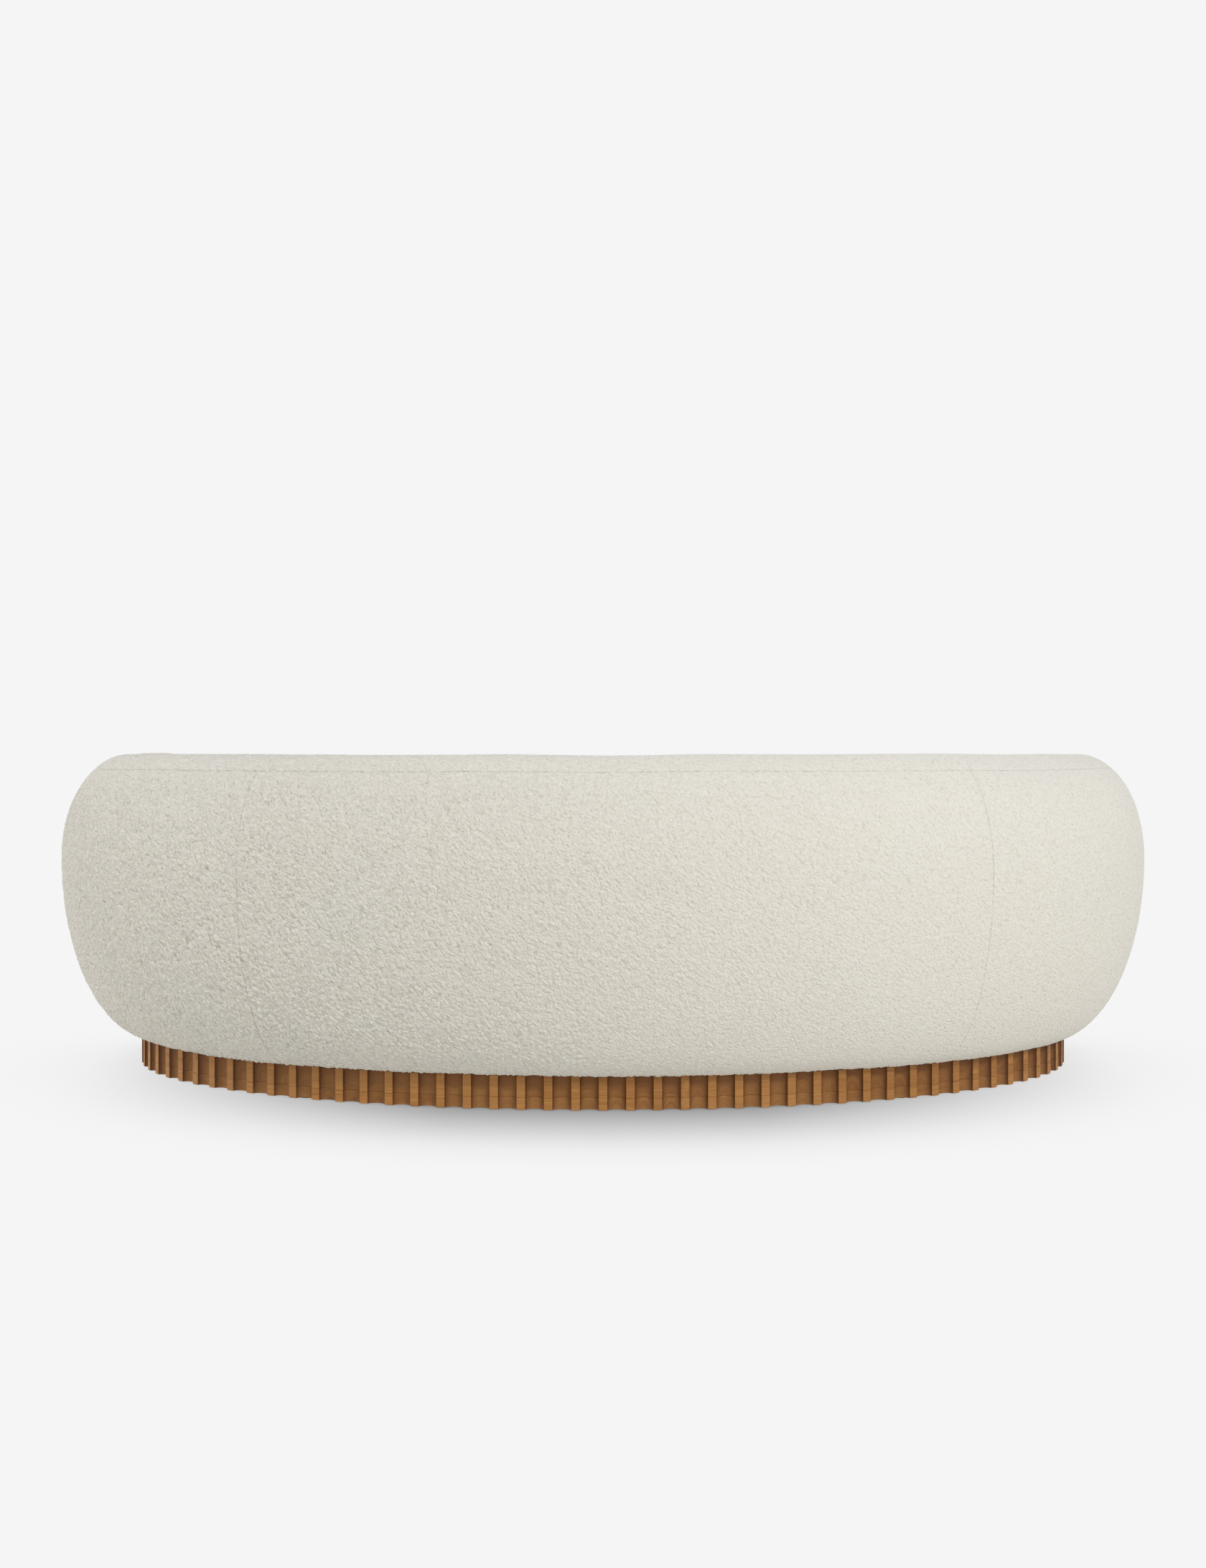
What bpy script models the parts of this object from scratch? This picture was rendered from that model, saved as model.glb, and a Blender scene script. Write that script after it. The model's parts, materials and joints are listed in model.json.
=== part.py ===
"""Oval tub sofa: boucle shell, arms and loose bench cushion on an inset fluted wooden plinth.

The sitter faces -Y, the back is at +Y, the floor is z = 0 and all lengths are metres.
"""
import math

import bmesh
import bpy
import numpy as np
from mathutils import Matrix, Vector

GAP = 0.0003                # clearance left between touching pieces

# Plan of the plinth face: half an ellipse behind, half a superellipse in front.
PLAN_A = 1.047
PLAN_BACK = 0.620
PLAN_FRONT = 0.250
PLAN_FRONT_POWER = 4.0
ARM_RUN = 0.130             # straight run of each arm in front of the widest point
PLAN_SHIFT = -0.25514       # moves the plan so that the origin is the middle of the box

# Heights.
GLIDE_H = 0.0015
COURSE_JOINT_Z = 0.0255
PLINTH_TOP = 0.0690
BOARD_BOTTOM = 0.0693
BOARD_TOP = 0.0873
RAIL_TOP = 0.2250
DECK_BOTTOM = 0.2279
DECK_TOP = 0.2615
RIB_TOP = 0.6000
TOP_RAIL_H = 0.018
TOP_Z = 0.695

# Shell section: offsets from the plan line against height.
WIDEST_Z = 0.465
LOW_CENTRE, LOW_A, LOW_H = -0.019, 0.191, 0.3989
HIGH_CENTRE, HIGH_A, HIGH_H = 0.029, 0.144, 0.230
INNER_FACE = -0.100
INNER_CENTRE, INNER_A, INNER_H = -0.015, 0.085, 0.140
SECTION_START = -82.4       # section angle at the bottom edge
SECTION_SEAM = 60.0         # section angle of the top seam

# Section angles at which the layers have a row of points.
LEVELS_BODY = (SECTION_START, -70, -56, -40, -22, -4, 14, 26, 36, 48, SECTION_SEAM - 0.2)
LEVELS_LID = (72, 83, 90)
LEVELS_COVER_INSIDE = (-32, -4) + LEVELS_BODY[6:]
LEVELS_FOAM_OUTER = LEVELS_BODY[1:-2]
LEVELS_FOAM_INSIDE = (-70, -40, -4, 14, 26, 36)
LEVELS_ROLL = (48, SECTION_SEAM) + LEVELS_LID
LEVELS_RIB = (-56, -40, -22, -4, 14, 26, 36)
STATIONS_SIDE = 10
STATIONS_BACK = 17
STATIONS_NOSE = 9

COVER = 0.003
FOAM_OUTER = 0.025
FOAM_INNER = 0.060

RIB_CLEARANCE = 0.005       # between the frame ribs and the padding on both sides

# Vertical seams of the outer cover, as distances along the plan line from the back centre.
SEAM_PLUS_S = 0.656
SEAM_MINUS_S = -0.704

# Plinth.
RIB_PITCH = 0.0535
RIB_FACE = 0.0168
FLUTE_DEPTH = 0.0125
PLINTH_WALL = 0.045
BLOCKS_PER_COURSE = 6

# Base board, set in from the plinth face and notched for the arm noses.
BOARD_INSET = 0.004
BOARD_NOTCH_X = 0.942
BOARD_NOTCH_Y = BOARD_INSET - ARM_RUN

# Upright ribs and the rail on top of them.
FRAME_RIBS = 7
FRAME_RIB_SPREAD = 1.25
RIB_FOOT = 0.002
RIB_CHAMFER_X, RIB_CHAMFER_Z = 0.010, 0.030
TOP_RAIL_INNER, TOP_RAIL_OUTER = -0.028, 0.080
TOP_RAIL_SHORT = 0.02
TOP_RAIL_STATIONS = 31

# Seat rails.
TIMBER_THICK = 0.020
FRONT_RAIL_Y = -0.185
FRONT_RAIL_HALF = 0.82
REAR_RAIL_Y = 0.430
REAR_RAIL_HALF = 0.42
STRETCHERS_X = (-0.39, 0.0, 0.39)
STRETCHER_DROP = 0.030
CORNER_RAIL_START = (0.435, REAR_RAIL_Y - 0.002)
CORNER_RAIL_END = (0.775, 0.235)
SIDE_RAIL_X = 0.800
SIDE_RAIL_REAR = 0.215
WEBBING_X = (-0.60, -0.30, 0.0, 0.30, 0.60)
WEBBING_WIDTH = 0.060
WEBBING_FRONT = -0.190
WEBBING_REAR = 0.435
WEBBING_REAR_OUTER = 0.340

# Inside the plinth.
CROSS_RAILS_X = (-0.5, 0.0, 0.5)
CROSS_RAIL_WIDTH = 0.030
CROSS_RAIL_TOP = 0.0585
CROSS_RAIL_CLEAR = 0.012
DUST_COVER_BOTTOM = 0.0588
DUST_COVER_TOP = 0.0600
GLIDE_RADIUS = 0.016
GLIDE_SIDE_IN = 0.029
GLIDE_REAR_IN = 0.034
GLIDES_SIDE = ((-1, 0.0), (1, 0.0))
GLIDES_REAR_X = (-0.60, 0.60)
GLIDES_FRONT = ((-0.60, -0.221), (0.60, -0.221))
GLIDES_MIDDLE = ((0.0, 0.20), (0.0, -0.08))

# Front border: (offset, height) along its face and along its padding.
BORDER_PROFILE = ((0.006, 0.0696), (0.020, 0.097), (0.029, 0.130), (0.031, 0.170),
                  (0.026, 0.210), (0.012, 0.240), (-0.008, 0.256), (-0.030, DECK_TOP - 0.002))
BORDER_PADDING = ((0.008, 0.094), (0.0225, 0.130), (0.0245, 0.170), (0.0195, 0.208),
                  (0.006, 0.235), (-0.012, 0.249))
BORDER_PADDING_BACK = -0.1953
BORDER_TURN = 74
BORDER_PADDING_TURN = 72
BORDER_STATIONS = 33

# Seat deck.
DECK_FRONT = 0.275
DECK_FRONT_POWER = 12.0

# Cushion; its levels are (inset, rise) pairs from the underside up.
CUSHION_LEVELS = ((-0.020, 0.0), (-0.007, 0.005), (0.0, 0.022), (0.0, 0.145), (-0.007, 0.163),
                  (-0.022, 0.172), (-0.080, 0.1795), (-0.180, 0.1830))
CUSHION_OFFSET = -0.1035
CUSHION_FRONT = 0.272
CUSHION_FRONT_POWER = 6.0
CUSHION_Z = DECK_TOP + 0.0005

# Colour and roughness of each material.
BOUCLE = ((0.80, 0.76, 0.69), 0.95)
WOOD_A = ((0.42, 0.24, 0.12), 0.55)
WOOD_B = ((0.47, 0.28, 0.15), 0.55)
TIMBER = ((0.62, 0.47, 0.30), 0.70)
FOAM = ((0.86, 0.80, 0.58), 0.90)
BLACK = ((0.03, 0.03, 0.03), 0.90)


def clear_scene():
    for old in list(bpy.data.objects):
        bpy.data.objects.remove(old, do_unlink=True)


def make_collection(name, hidden=False):
    made = bpy.data.collections.new(name)
    bpy.context.scene.collection.children.link(made)
    made.hide_render = hidden
    return made


def material(name, colour, roughness):
    made = bpy.data.materials.new(name)
    made.use_nodes = True
    shader = made.node_tree.nodes["Principled BSDF"]
    shader.inputs["Base Color"].default_value = (*colour, 1.0)
    shader.inputs["Roughness"].default_value = roughness
    return made


def add_mesh(name, verts, faces, look, where, smooth=False):
    """A named object from a closed mesh, its origin at the middle of its own box."""
    verts = np.asarray(verts, float)
    middle = (verts.min(axis=0) + verts.max(axis=0)) / 2
    mesh = bpy.data.meshes.new(name)
    mesh.from_pydata((verts - middle).tolist(), [], faces)
    work = bmesh.new()
    work.from_mesh(mesh)
    bmesh.ops.recalc_face_normals(work, faces=work.faces)
    work.to_mesh(mesh)
    work.free()
    made = bpy.data.objects.new(name, mesh)
    made.location = middle
    if look:
        colour, roughness = look
        mesh.materials.append(material(name, colour, roughness))
    if smooth:
        mesh.shade_smooth()
    where.objects.link(made)
    return made


# ---------------------------------------------------------------- plan lines

def ellipse_table():
    angle = np.linspace(0.0, math.pi / 2, 2001)
    x = PLAN_A * np.sin(angle)
    y = PLAN_BACK * np.cos(angle)
    steps = np.hypot(np.diff(x), np.diff(y))
    return angle, np.concatenate([[0.0], np.cumsum(steps)])


ELLIPSE_ANGLE, ELLIPSE_LENGTH = ellipse_table()
QUARTER = float(ELLIPSE_LENGTH[-1])
ARM_END = QUARTER + ARM_RUN


def plan_point(s):
    """Point and outward normal of the shell's plan line, s metres from the back centre."""
    side = -1.0 if s < 0 else 1.0
    run = abs(s)
    if run > QUARTER:
        return np.array([side * PLAN_A, QUARTER - run]), np.array([side, 0.0])
    angle = float(np.interp(run, ELLIPSE_LENGTH, ELLIPSE_ANGLE))
    point = np.array([side * PLAN_A * math.sin(angle), PLAN_BACK * math.cos(angle)])
    normal = np.array([side * math.sin(angle) / PLAN_A, math.cos(angle) / PLAN_BACK])
    return point, normal / np.linalg.norm(normal)


def front_point(turn, half, depth, power):
    """Point and outward normal of a front superellipse; turn runs from +90 (+X) to -90."""
    c = math.cos(math.radians(turn))
    s = math.sin(math.radians(turn))
    x = half * math.copysign(abs(s) ** (2 / power), s)
    y = -depth * max(c, 0.0) ** (2 / power)
    nx = math.copysign((abs(x) / half) ** (power - 1) / half, x)
    ny = -((abs(y) / depth) ** (power - 1)) / depth
    normal = np.array([nx, ny])
    return np.array([x, y]), normal / np.linalg.norm(normal)


def closed_plan(offset, count_back, count_front, depth=PLAN_FRONT, power=PLAN_FRONT_POWER):
    """Closed outline: the plan line behind, a superellipse in front, both moved by offset."""
    points = []
    for s in np.linspace(-QUARTER, QUARTER, count_back):
        point, normal = plan_point(s)
        points.append(point + normal * offset)
    half = PLAN_A + offset
    for turn in np.linspace(90.0, -90.0, count_front + 2)[1:-1]:
        points.append(front_point(turn, half, depth + offset, power)[0])
    return np.array(points)


def board_outline():
    """The base board: the plinth's plan, notched at both front corners for the arm noses."""
    rear = [plan_point(s) for s in np.linspace(-QUARTER, QUARTER, 37)]
    points = [tuple(point - normal * BOARD_INSET) for point, normal in rear]
    fore = []
    for turn in np.linspace(80.0, -80.0, 41):
        x, y = front_point(turn, PLAN_A, PLAN_FRONT - BOARD_INSET, PLAN_FRONT_POWER)[0]
        if abs(x) < BOARD_NOTCH_X - 0.01:
            fore.append((x, y))
    points += [(PLAN_A - BOARD_INSET, BOARD_NOTCH_Y), (BOARD_NOTCH_X, BOARD_NOTCH_Y)]
    points += fore
    points += [(-BOARD_NOTCH_X, BOARD_NOTCH_Y), (BOARD_INSET - PLAN_A, BOARD_NOTCH_Y)]
    return points


def plinth_line():
    """Dense closed line of the plinth face with normals and running length from the back."""
    spots = [plan_point(s) for s in np.linspace(0.0, QUARTER, 800)]
    fore = [front_point(t, PLAN_A, PLAN_FRONT, PLAN_FRONT_POWER)
            for t in np.linspace(90.0, -90.0, 3001)[1:-1]]
    rest = [plan_point(s) for s in np.linspace(-QUARTER, 0.0, 800)]
    spots = spots + fore + rest
    points = np.array([spot[0] for spot in spots])
    normals = np.array([spot[1] for spot in spots])
    steps = np.hypot(*np.diff(points, axis=0).T)
    return points, normals, np.concatenate([[0.0], np.cumsum(steps)])


# ---------------------------------------------------------------- shell surface

def section(angle, inset):
    """Outer and inner (offset, height) of the shell section at one section angle."""
    c = math.cos(math.radians(angle))
    s = math.sin(math.radians(angle))
    if angle < 0:
        centre, wide, tall = LOW_CENTRE, LOW_A, LOW_H
    else:
        centre, wide, tall = HIGH_CENTRE, HIGH_A, HIGH_H
    outer = np.array([centre + wide * c, WIDEST_Z + tall * s])
    normal = np.array([c / wide, s / tall])
    outer = outer - inset * normal / np.linalg.norm(normal)
    z = WIDEST_Z + tall * s
    lift = (z - (TOP_Z - INNER_H)) / INNER_H
    if lift <= 0:
        return outer, np.array([INNER_FACE + inset, z])
    lift = min(lift, 1.0)
    lean = math.sqrt(1 - lift * lift)
    inner = np.array([INNER_CENTRE - INNER_A * lean, z])
    normal = np.array([-lean / INNER_A, lift / INNER_H])
    return outer, inner - inset * normal / np.linalg.norm(normal)


def shell_point(station, angle, inset):
    """Point of the shell surface: station is (s, turn), turn 0 outside and 180 inside."""
    s, turn = station
    outer, inner = section(angle, inset)
    c = math.cos(math.radians(turn))
    middle = (outer[0] + inner[0]) / 2
    half = (outer[0] - inner[0]) / 2
    point, normal = plan_point(s)
    place = point + normal * (middle + half * c)
    place = place - np.array([0.0, half * math.sin(math.radians(turn))])
    z = outer[1] * (1 + c) / 2 + inner[1] * (1 - c) / 2
    return [place[0], place[1], z]


def long_marks():
    """Distances along the plan line shared by every layer, with one at each vertical seam."""
    left = np.linspace(-ARM_END, SEAM_MINUS_S, STATIONS_SIDE)
    middle = np.linspace(SEAM_MINUS_S, SEAM_PLUS_S, STATIONS_BACK)
    right = np.linspace(SEAM_PLUS_S, ARM_END, STATIONS_SIDE)
    return np.concatenate([left, middle[1:], right[1:]])


def run_stations(s0, s1, turn):
    """The shared stations from s0 to s1, along the outside (turn 0) or the inside (180)."""
    low, high = min(s0, s1), max(s0, s1)
    between = [m for m in long_marks() if low + 0.004 < m < high - 0.004]
    marks = [low] + between + [high]
    if s1 < s0:
        marks = marks[::-1]
    return [(float(m), turn) for m in marks]


def nose_stations(side, turn0, turn1):
    turns = np.linspace(turn0, turn1, STATIONS_NOSE)
    return [(side * ARM_END, float(turn)) for turn in turns]


def full_loop():
    loop = run_stations(-ARM_END, ARM_END, 0.0)
    loop += nose_stations(1, 0, 180)[1:]
    loop += run_stations(ARM_END, -ARM_END, 180.0)[1:]
    loop += nose_stations(-1, 180, 0)[1:-1]
    return loop


def grid_solid(outer, inner):
    """Verts and faces of the closed body between two open grids of the same shape."""
    rows, cols = outer.shape[:2]
    verts = np.concatenate([outer.reshape(-1, 3), inner.reshape(-1, 3)])
    base = rows * cols
    faces = []
    for r in range(rows - 1):
        for c in range(cols - 1):
            a = r * cols + c
            faces.append((a, a + 1, a + cols + 1, a + cols))
            faces.append((base + a, base + a + cols, base + a + cols + 1, base + a + 1))
    rim = [c for c in range(cols)]
    rim += [r * cols + cols - 1 for r in range(1, rows)]
    rim += [(rows - 1) * cols + c for c in range(cols - 2, -1, -1)]
    rim += [r * cols for r in range(rows - 2, 0, -1)]
    for here, after in zip(rim, rim[1:] + rim[:1]):
        faces.append((after, here, base + here, base + after))
    return verts, faces


def shell_patch(name, stations, angles, inset, depth, look, where):
    """A layer of the shell between two insets, over a range of stations and heights."""
    outer = [[shell_point(st, a, inset) for st in stations] for a in angles]
    inner = [[shell_point(st, a, inset + depth) for st in stations] for a in angles]
    verts, faces = grid_solid(np.array(outer), np.array(inner))
    return add_mesh(name, shifted(verts), faces, look, where, smooth=True)


def ladder(start):
    """Faces that close a C-shaped loop by joining its outer run to its inner run."""
    faces = []
    total = len(full_loop())
    tip_plus = len(long_marks()) - 1 + (STATIONS_NOSE - 1) // 2
    for step in range(total // 2):
        a = (tip_plus - step) % total
        b = (tip_plus + step) % total
        a2 = (a - 1) % total
        b2 = (b + 1) % total
        corners = []
        for corner in (a, b, b2, a2):
            if start + corner not in corners:
                corners.append(start + corner)
        if len(corners) > 2:
            faces.append(tuple(corners))
    return faces


def loops_solid(loops, top_cap, bottom_cap):
    """Verts and faces of a stack of closed loops with given end faces."""
    size = len(loops[0])
    verts = np.concatenate([np.asarray(loop) for loop in loops])
    faces = []
    for level in range(len(loops) - 1):
        for c in range(size):
            a = level * size + c
            b = level * size + (c + 1) % size
            faces.append((a, b, b + size, a + size))
    faces += top_cap((len(loops) - 1) * size)
    faces += [tuple(reversed(face)) for face in bottom_cap(0)]
    return verts, faces


def shell_stack(name, angles, inset, look, where):
    """A solid that fills the shell between two section angles."""
    loops = [[shell_point(st, a, inset) for st in full_loop()] for a in angles]
    verts, faces = loops_solid(loops, ladder, ladder)
    return add_mesh(name, shifted(verts), faces, look, where, smooth=True)


def shell_lid(name, angles, depth, look, where):
    """The top cover: a C-shaped skin open below."""
    stations = full_loop()
    size = len(stations)
    skins = []
    for inset in (0.0, depth):
        skins += [[shell_point(st, a, inset) for st in stations] for a in angles]
    levels = len(angles)
    verts = np.concatenate([np.asarray(loop) for loop in skins])
    faces = []
    for skin in range(2):
        first = skin * levels * size
        for level in range(levels - 1):
            for c in range(size):
                a = first + level * size + c
                b = first + level * size + (c + 1) % size
                quad = (a, b, b + size, a + size)
                faces.append(quad if skin == 0 else tuple(reversed(quad)))
        top = ladder(first + (levels - 1) * size)
        faces += top if skin == 0 else [tuple(reversed(face)) for face in top]
    under = levels * size
    for c in range(size):
        after = (c + 1) % size
        faces.append((after, c, under + c, under + after))
    return add_mesh(name, shifted(verts), faces, look, where, smooth=True)


def shifted(verts):
    return np.asarray(verts, float) + np.array([0.0, PLAN_SHIFT, 0.0])


# ---------------------------------------------------------------- plain pieces

def prism(name, outline, z0, z1, look, where):
    """A board from a closed outline."""
    size = len(outline)
    low = [(x, y, z0) for x, y in outline]
    high = [(x, y, z1) for x, y in outline]
    faces = [tuple(range(size, 2 * size)), tuple(reversed(range(size)))]
    for c in range(size):
        after = (c + 1) % size
        faces.append((c, after, size + after, size + c))
    return add_mesh(name, shifted(low + high), faces, look, where)


def timber(name, start, end, width, z0, z1, look, where):
    """A straight rail between two plan points."""
    start = Vector(start)
    end = Vector(end)
    bpy.ops.mesh.primitive_cube_add(size=1.0)
    made = bpy.context.active_object
    made.name = name
    made.data.name = name
    run = end - start
    made.data.transform(Matrix.Diagonal((run.length, width, z1 - z0, 1.0)))
    middle = (start + end) / 2
    made.location = (middle.x, middle.y + PLAN_SHIFT, (z0 + z1) / 2)
    made.rotation_euler = (0.0, 0.0, math.atan2(run.y, run.x))
    made.data.materials.append(material(name, *look))
    for old in list(made.users_collection):
        old.objects.unlink(made)
    where.objects.link(made)
    return made


def glide(name, x, y, look, where):
    bpy.ops.mesh.primitive_cylinder_add(vertices=24, radius=GLIDE_RADIUS, depth=GLIDE_H)
    made = bpy.context.active_object
    made.name = name
    made.data.name = name
    made.location = (x, y + PLAN_SHIFT, GLIDE_H / 2)
    made.data.materials.append(material(name, *look))
    for old in list(made.users_collection):
        old.objects.unlink(made)
    where.objects.link(made)
    return made


# ---------------------------------------------------------------- plinth

def flute_depth(phase, pitch):
    """Depth of the fluting at a distance from the centre of a rib."""
    away = abs((phase + pitch / 2) % pitch - pitch / 2)
    edge = RIB_FACE / 2
    if away <= edge:
        return 0.0
    across = (away - edge) / (pitch / 2 - edge)
    return FLUTE_DEPTH * math.sqrt(max(0.0, 1 - (1 - across) ** 2))


def rib_offsets(pitch):
    """Distances from a rib centre at which the outline has a point."""
    edge = RIB_FACE / 2
    hollow = pitch - RIB_FACE
    return [-edge, edge, edge + 0.16 * hollow, edge + 0.5 * hollow, edge + 0.84 * hollow]


def plinth_outline(line, start, end, count, pitch):
    """Points of one block's fluted face between two running lengths."""
    points, normals, length = line
    marks = [start, end]
    for rib in range(-1, count + 1):
        marks += [rib * pitch + away for away in rib_offsets(pitch)]
    marks = sorted(m for m in marks if start - 1e-9 <= m <= end + 1e-9)
    face = []
    back = []
    for mark in marks:
        spot = mark % length[-1]
        p = np.array([np.interp(spot, length, points[:, k]) for k in range(2)])
        n = np.array([np.interp(spot, length, normals[:, k]) for k in range(2)])
        n = n / np.linalg.norm(n)
        face.append(p - n * flute_depth(mark, pitch))
        back.append(p - n * PLINTH_WALL)
    return face, back[::5] + [back[-1]]


def plinth_blocks(look_a, look_b, where):
    """Two courses of blocks, the joints of one half a block along from the other's."""
    line = plinth_line()
    total = float(line[2][-1])
    count = round(total / RIB_PITCH)
    pitch = total / count
    block = total / BLOCKS_PER_COURSE
    levels = ((GLIDE_H + GAP, COURSE_JOINT_Z - GAP), (COURSE_JOINT_Z, PLINTH_TOP))
    for course, (z0, z1) in enumerate(levels):
        for index in range(BLOCKS_PER_COURSE):
            start = (index + 0.30 + 0.5 * course) * block + GAP / 2
            end = start + block - GAP
            face, back = plinth_outline(line, start, end, 2 * count, pitch)
            outline = [tuple(p) for p in face] + [tuple(p) for p in reversed(back)]
            name = f"plinth_course{course + 1}_block{index + 1}"
            look = look_a if (index + course) % 2 else look_b
            prism(name, outline, z0, z1, look, where)


# ---------------------------------------------------------------- front border and cushion

def front_sweep(name, profile, depth, half_turn, count, look, where):
    """A skin swept along the front of the plan; profile holds (offset, height) pairs."""
    profile = np.array(profile)
    back = offset_polyline(profile, depth)
    skins = []
    for line in (profile, back):
        rows = []
        for turn in front_turns(half_turn, count):
            point, normal = front_point(turn, PLAN_A, PLAN_FRONT, PLAN_FRONT_POWER)
            rows.append([[*(point + normal * off), z] for off, z in line])
        skins.append(np.array(rows))
    verts, faces = grid_solid(*skins)
    return add_mesh(name, shifted(verts), faces, look, where, smooth=True)


def front_turns(half_turn, count):
    """Turns closer together near both corners, where the plan bends."""
    spread = np.linspace(-1.0, 1.0, count)
    return half_turn * np.sign(spread) * np.abs(spread) ** 0.8


def offset_polyline(line, depth):
    """The line moved to its left-hand side by depth."""
    ahead = np.gradient(line, axis=0)
    ahead /= np.linalg.norm(ahead, axis=1)[:, None]
    left = np.stack([-ahead[:, 1], ahead[:, 0]], axis=1)
    return line + left * depth


def front_foam(name, profile, back_y, half_turn, count, look, where):
    """Padding between the front rail and the front cover."""
    loops = []
    turns = front_turns(half_turn, count)
    for off, z in profile:
        loop = []
        for turn in turns:
            point, normal = front_point(turn, PLAN_A, PLAN_FRONT, PLAN_FRONT_POWER)
            loop.append([*(point + normal * off), z])
        for turn in reversed(turns):
            point, _ = front_point(turn, PLAN_A, PLAN_FRONT, PLAN_FRONT_POWER)
            loop.append([point[0] * 0.97, max(back_y, point[1] + 0.02), z])
        loops.append(loop)

    def cap(start):
        size = 2 * count
        return [(start + c, start + c + 1, start + size - 2 - c, start + size - 1 - c)
                for c in range(count - 1)]

    verts, faces = loops_solid(loops, cap, cap)
    return add_mesh(name, shifted(verts), faces, look, where, smooth=True)


def cushion(name, look, where):
    """Loose bench cushion: boxy, rounded edges and a slightly crowned top."""
    loops = []
    for inset, rise in CUSHION_LEVELS:
        outline = closed_plan(CUSHION_OFFSET + inset, 27, 19,
                              CUSHION_FRONT - CUSHION_OFFSET, CUSHION_FRONT_POWER)
        loops.append([(x, y, CUSHION_Z + rise) for x, y in outline])
    size = len(loops[0])

    def cap(start):
        return [tuple(range(start, start + size))]

    verts, faces = loops_solid(loops, cap, cap)
    return add_mesh(name, shifted(verts), faces, look, where, smooth=True)


def cut(made, cutter):
    bool_mod = made.modifiers.new("Clear of the arms", "BOOLEAN")
    bool_mod.operation = "DIFFERENCE"
    bool_mod.solver = "EXACT"
    bool_mod.object = cutter


# ---------------------------------------------------------------- frame

def rib_outline():
    """Profile of an upright frame rib between the two foam layers."""
    inner = INNER_FACE + COVER + FOAM_INNER + RIB_CLEARANCE
    inset = COVER + FOAM_OUTER + RIB_CLEARANCE
    profile = [(inner, BOARD_TOP + GAP), (RIB_FOOT, BOARD_TOP + GAP)]
    for angle in LEVELS_RIB:
        outer = section(angle, inset)[0]
        profile.append((float(outer[0]), float(min(outer[1], RIB_TOP))))
    top = profile[-1][1]
    profile.append((inner + RIB_CHAMFER_X, top))
    profile.append((inner, top - RIB_CHAMFER_Z))
    return profile


def rib(name, s, thick, look, where):
    point, normal = plan_point(s)
    side = np.array([-normal[1], normal[0]]) * thick / 2
    profile = rib_outline()
    verts = []
    for hand in (-1, 1):
        for off, z in profile:
            place = point + normal * off + side * hand
            verts.append((place[0], place[1], z))
    size = len(profile)
    faces = [tuple(range(size)), tuple(reversed(range(size, 2 * size)))]
    for c in range(size):
        after = (c + 1) % size
        faces.append((after, c, size + c, size + after))
    return add_mesh(name, shifted(verts), faces, look, where)


def top_rail(name, look, where):
    z0 = rib_outline()[-2][1] + GAP
    reach = ARM_END - TOP_RAIL_SHORT
    stations = np.linspace(-reach, reach, TOP_RAIL_STATIONS)
    skins = []
    for z in (z0, z0 + TOP_RAIL_H):
        rows = []
        for s in stations:
            point, normal = plan_point(s)
            rows.append([[*(point + normal * off), z] for off in (TOP_RAIL_INNER, TOP_RAIL_OUTER)])
        skins.append(np.array(rows))
    verts, faces = grid_solid(*skins)
    return add_mesh(name, shifted(verts), faces, look, where)


def seat_frame(look, where):
    """Rails and stretchers that carry the webbing."""
    z0 = BOARD_TOP + GAP
    thick = TIMBER_THICK
    front = FRONT_RAIL_HALF
    rear = REAR_RAIL_HALF
    timber("front_rail", (-front, FRONT_RAIL_Y), (front, FRONT_RAIL_Y), thick,
           z0, RAIL_TOP, look, where)
    timber("rear_rail", (-rear, REAR_RAIL_Y), (rear, REAR_RAIL_Y), thick,
           z0, RAIL_TOP, look, where)
    y0 = FRONT_RAIL_Y + thick / 2 + GAP
    y1 = REAR_RAIL_Y - thick / 2 - GAP
    for index, x in enumerate(STRETCHERS_X):
        timber(f"stretcher_{index + 1}", (x, y0), (x, y1), thick,
               z0, RAIL_TOP - STRETCHER_DROP, look, where)
    for hand, side in ((-1, "minus"), (1, "plus")):
        start = (hand * CORNER_RAIL_START[0], CORNER_RAIL_START[1])
        end = (hand * CORNER_RAIL_END[0], CORNER_RAIL_END[1])
        timber(f"corner_rail_{side}", start, end, thick, z0, RAIL_TOP, look, where)
        x = hand * SIDE_RAIL_X
        timber(f"side_rail_{side}", (x, y0), (x, SIDE_RAIL_REAR), thick,
               z0, RAIL_TOP, look, where)


def webbing(look, where):
    for index, x in enumerate(WEBBING_X):
        end = WEBBING_REAR if abs(x) < REAR_RAIL_HALF else WEBBING_REAR_OUTER
        timber(f"webbing_{index + 1}", (x, WEBBING_FRONT), (x, end), WEBBING_WIDTH,
               RAIL_TOP + GAP, DECK_BOTTOM - GAP, look, where)


def rear_line(x):
    """How far back the rear of the plinth face lies at one x."""
    return PLAN_BACK * math.sqrt(1 - (x / PLAN_A) ** 2)


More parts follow.
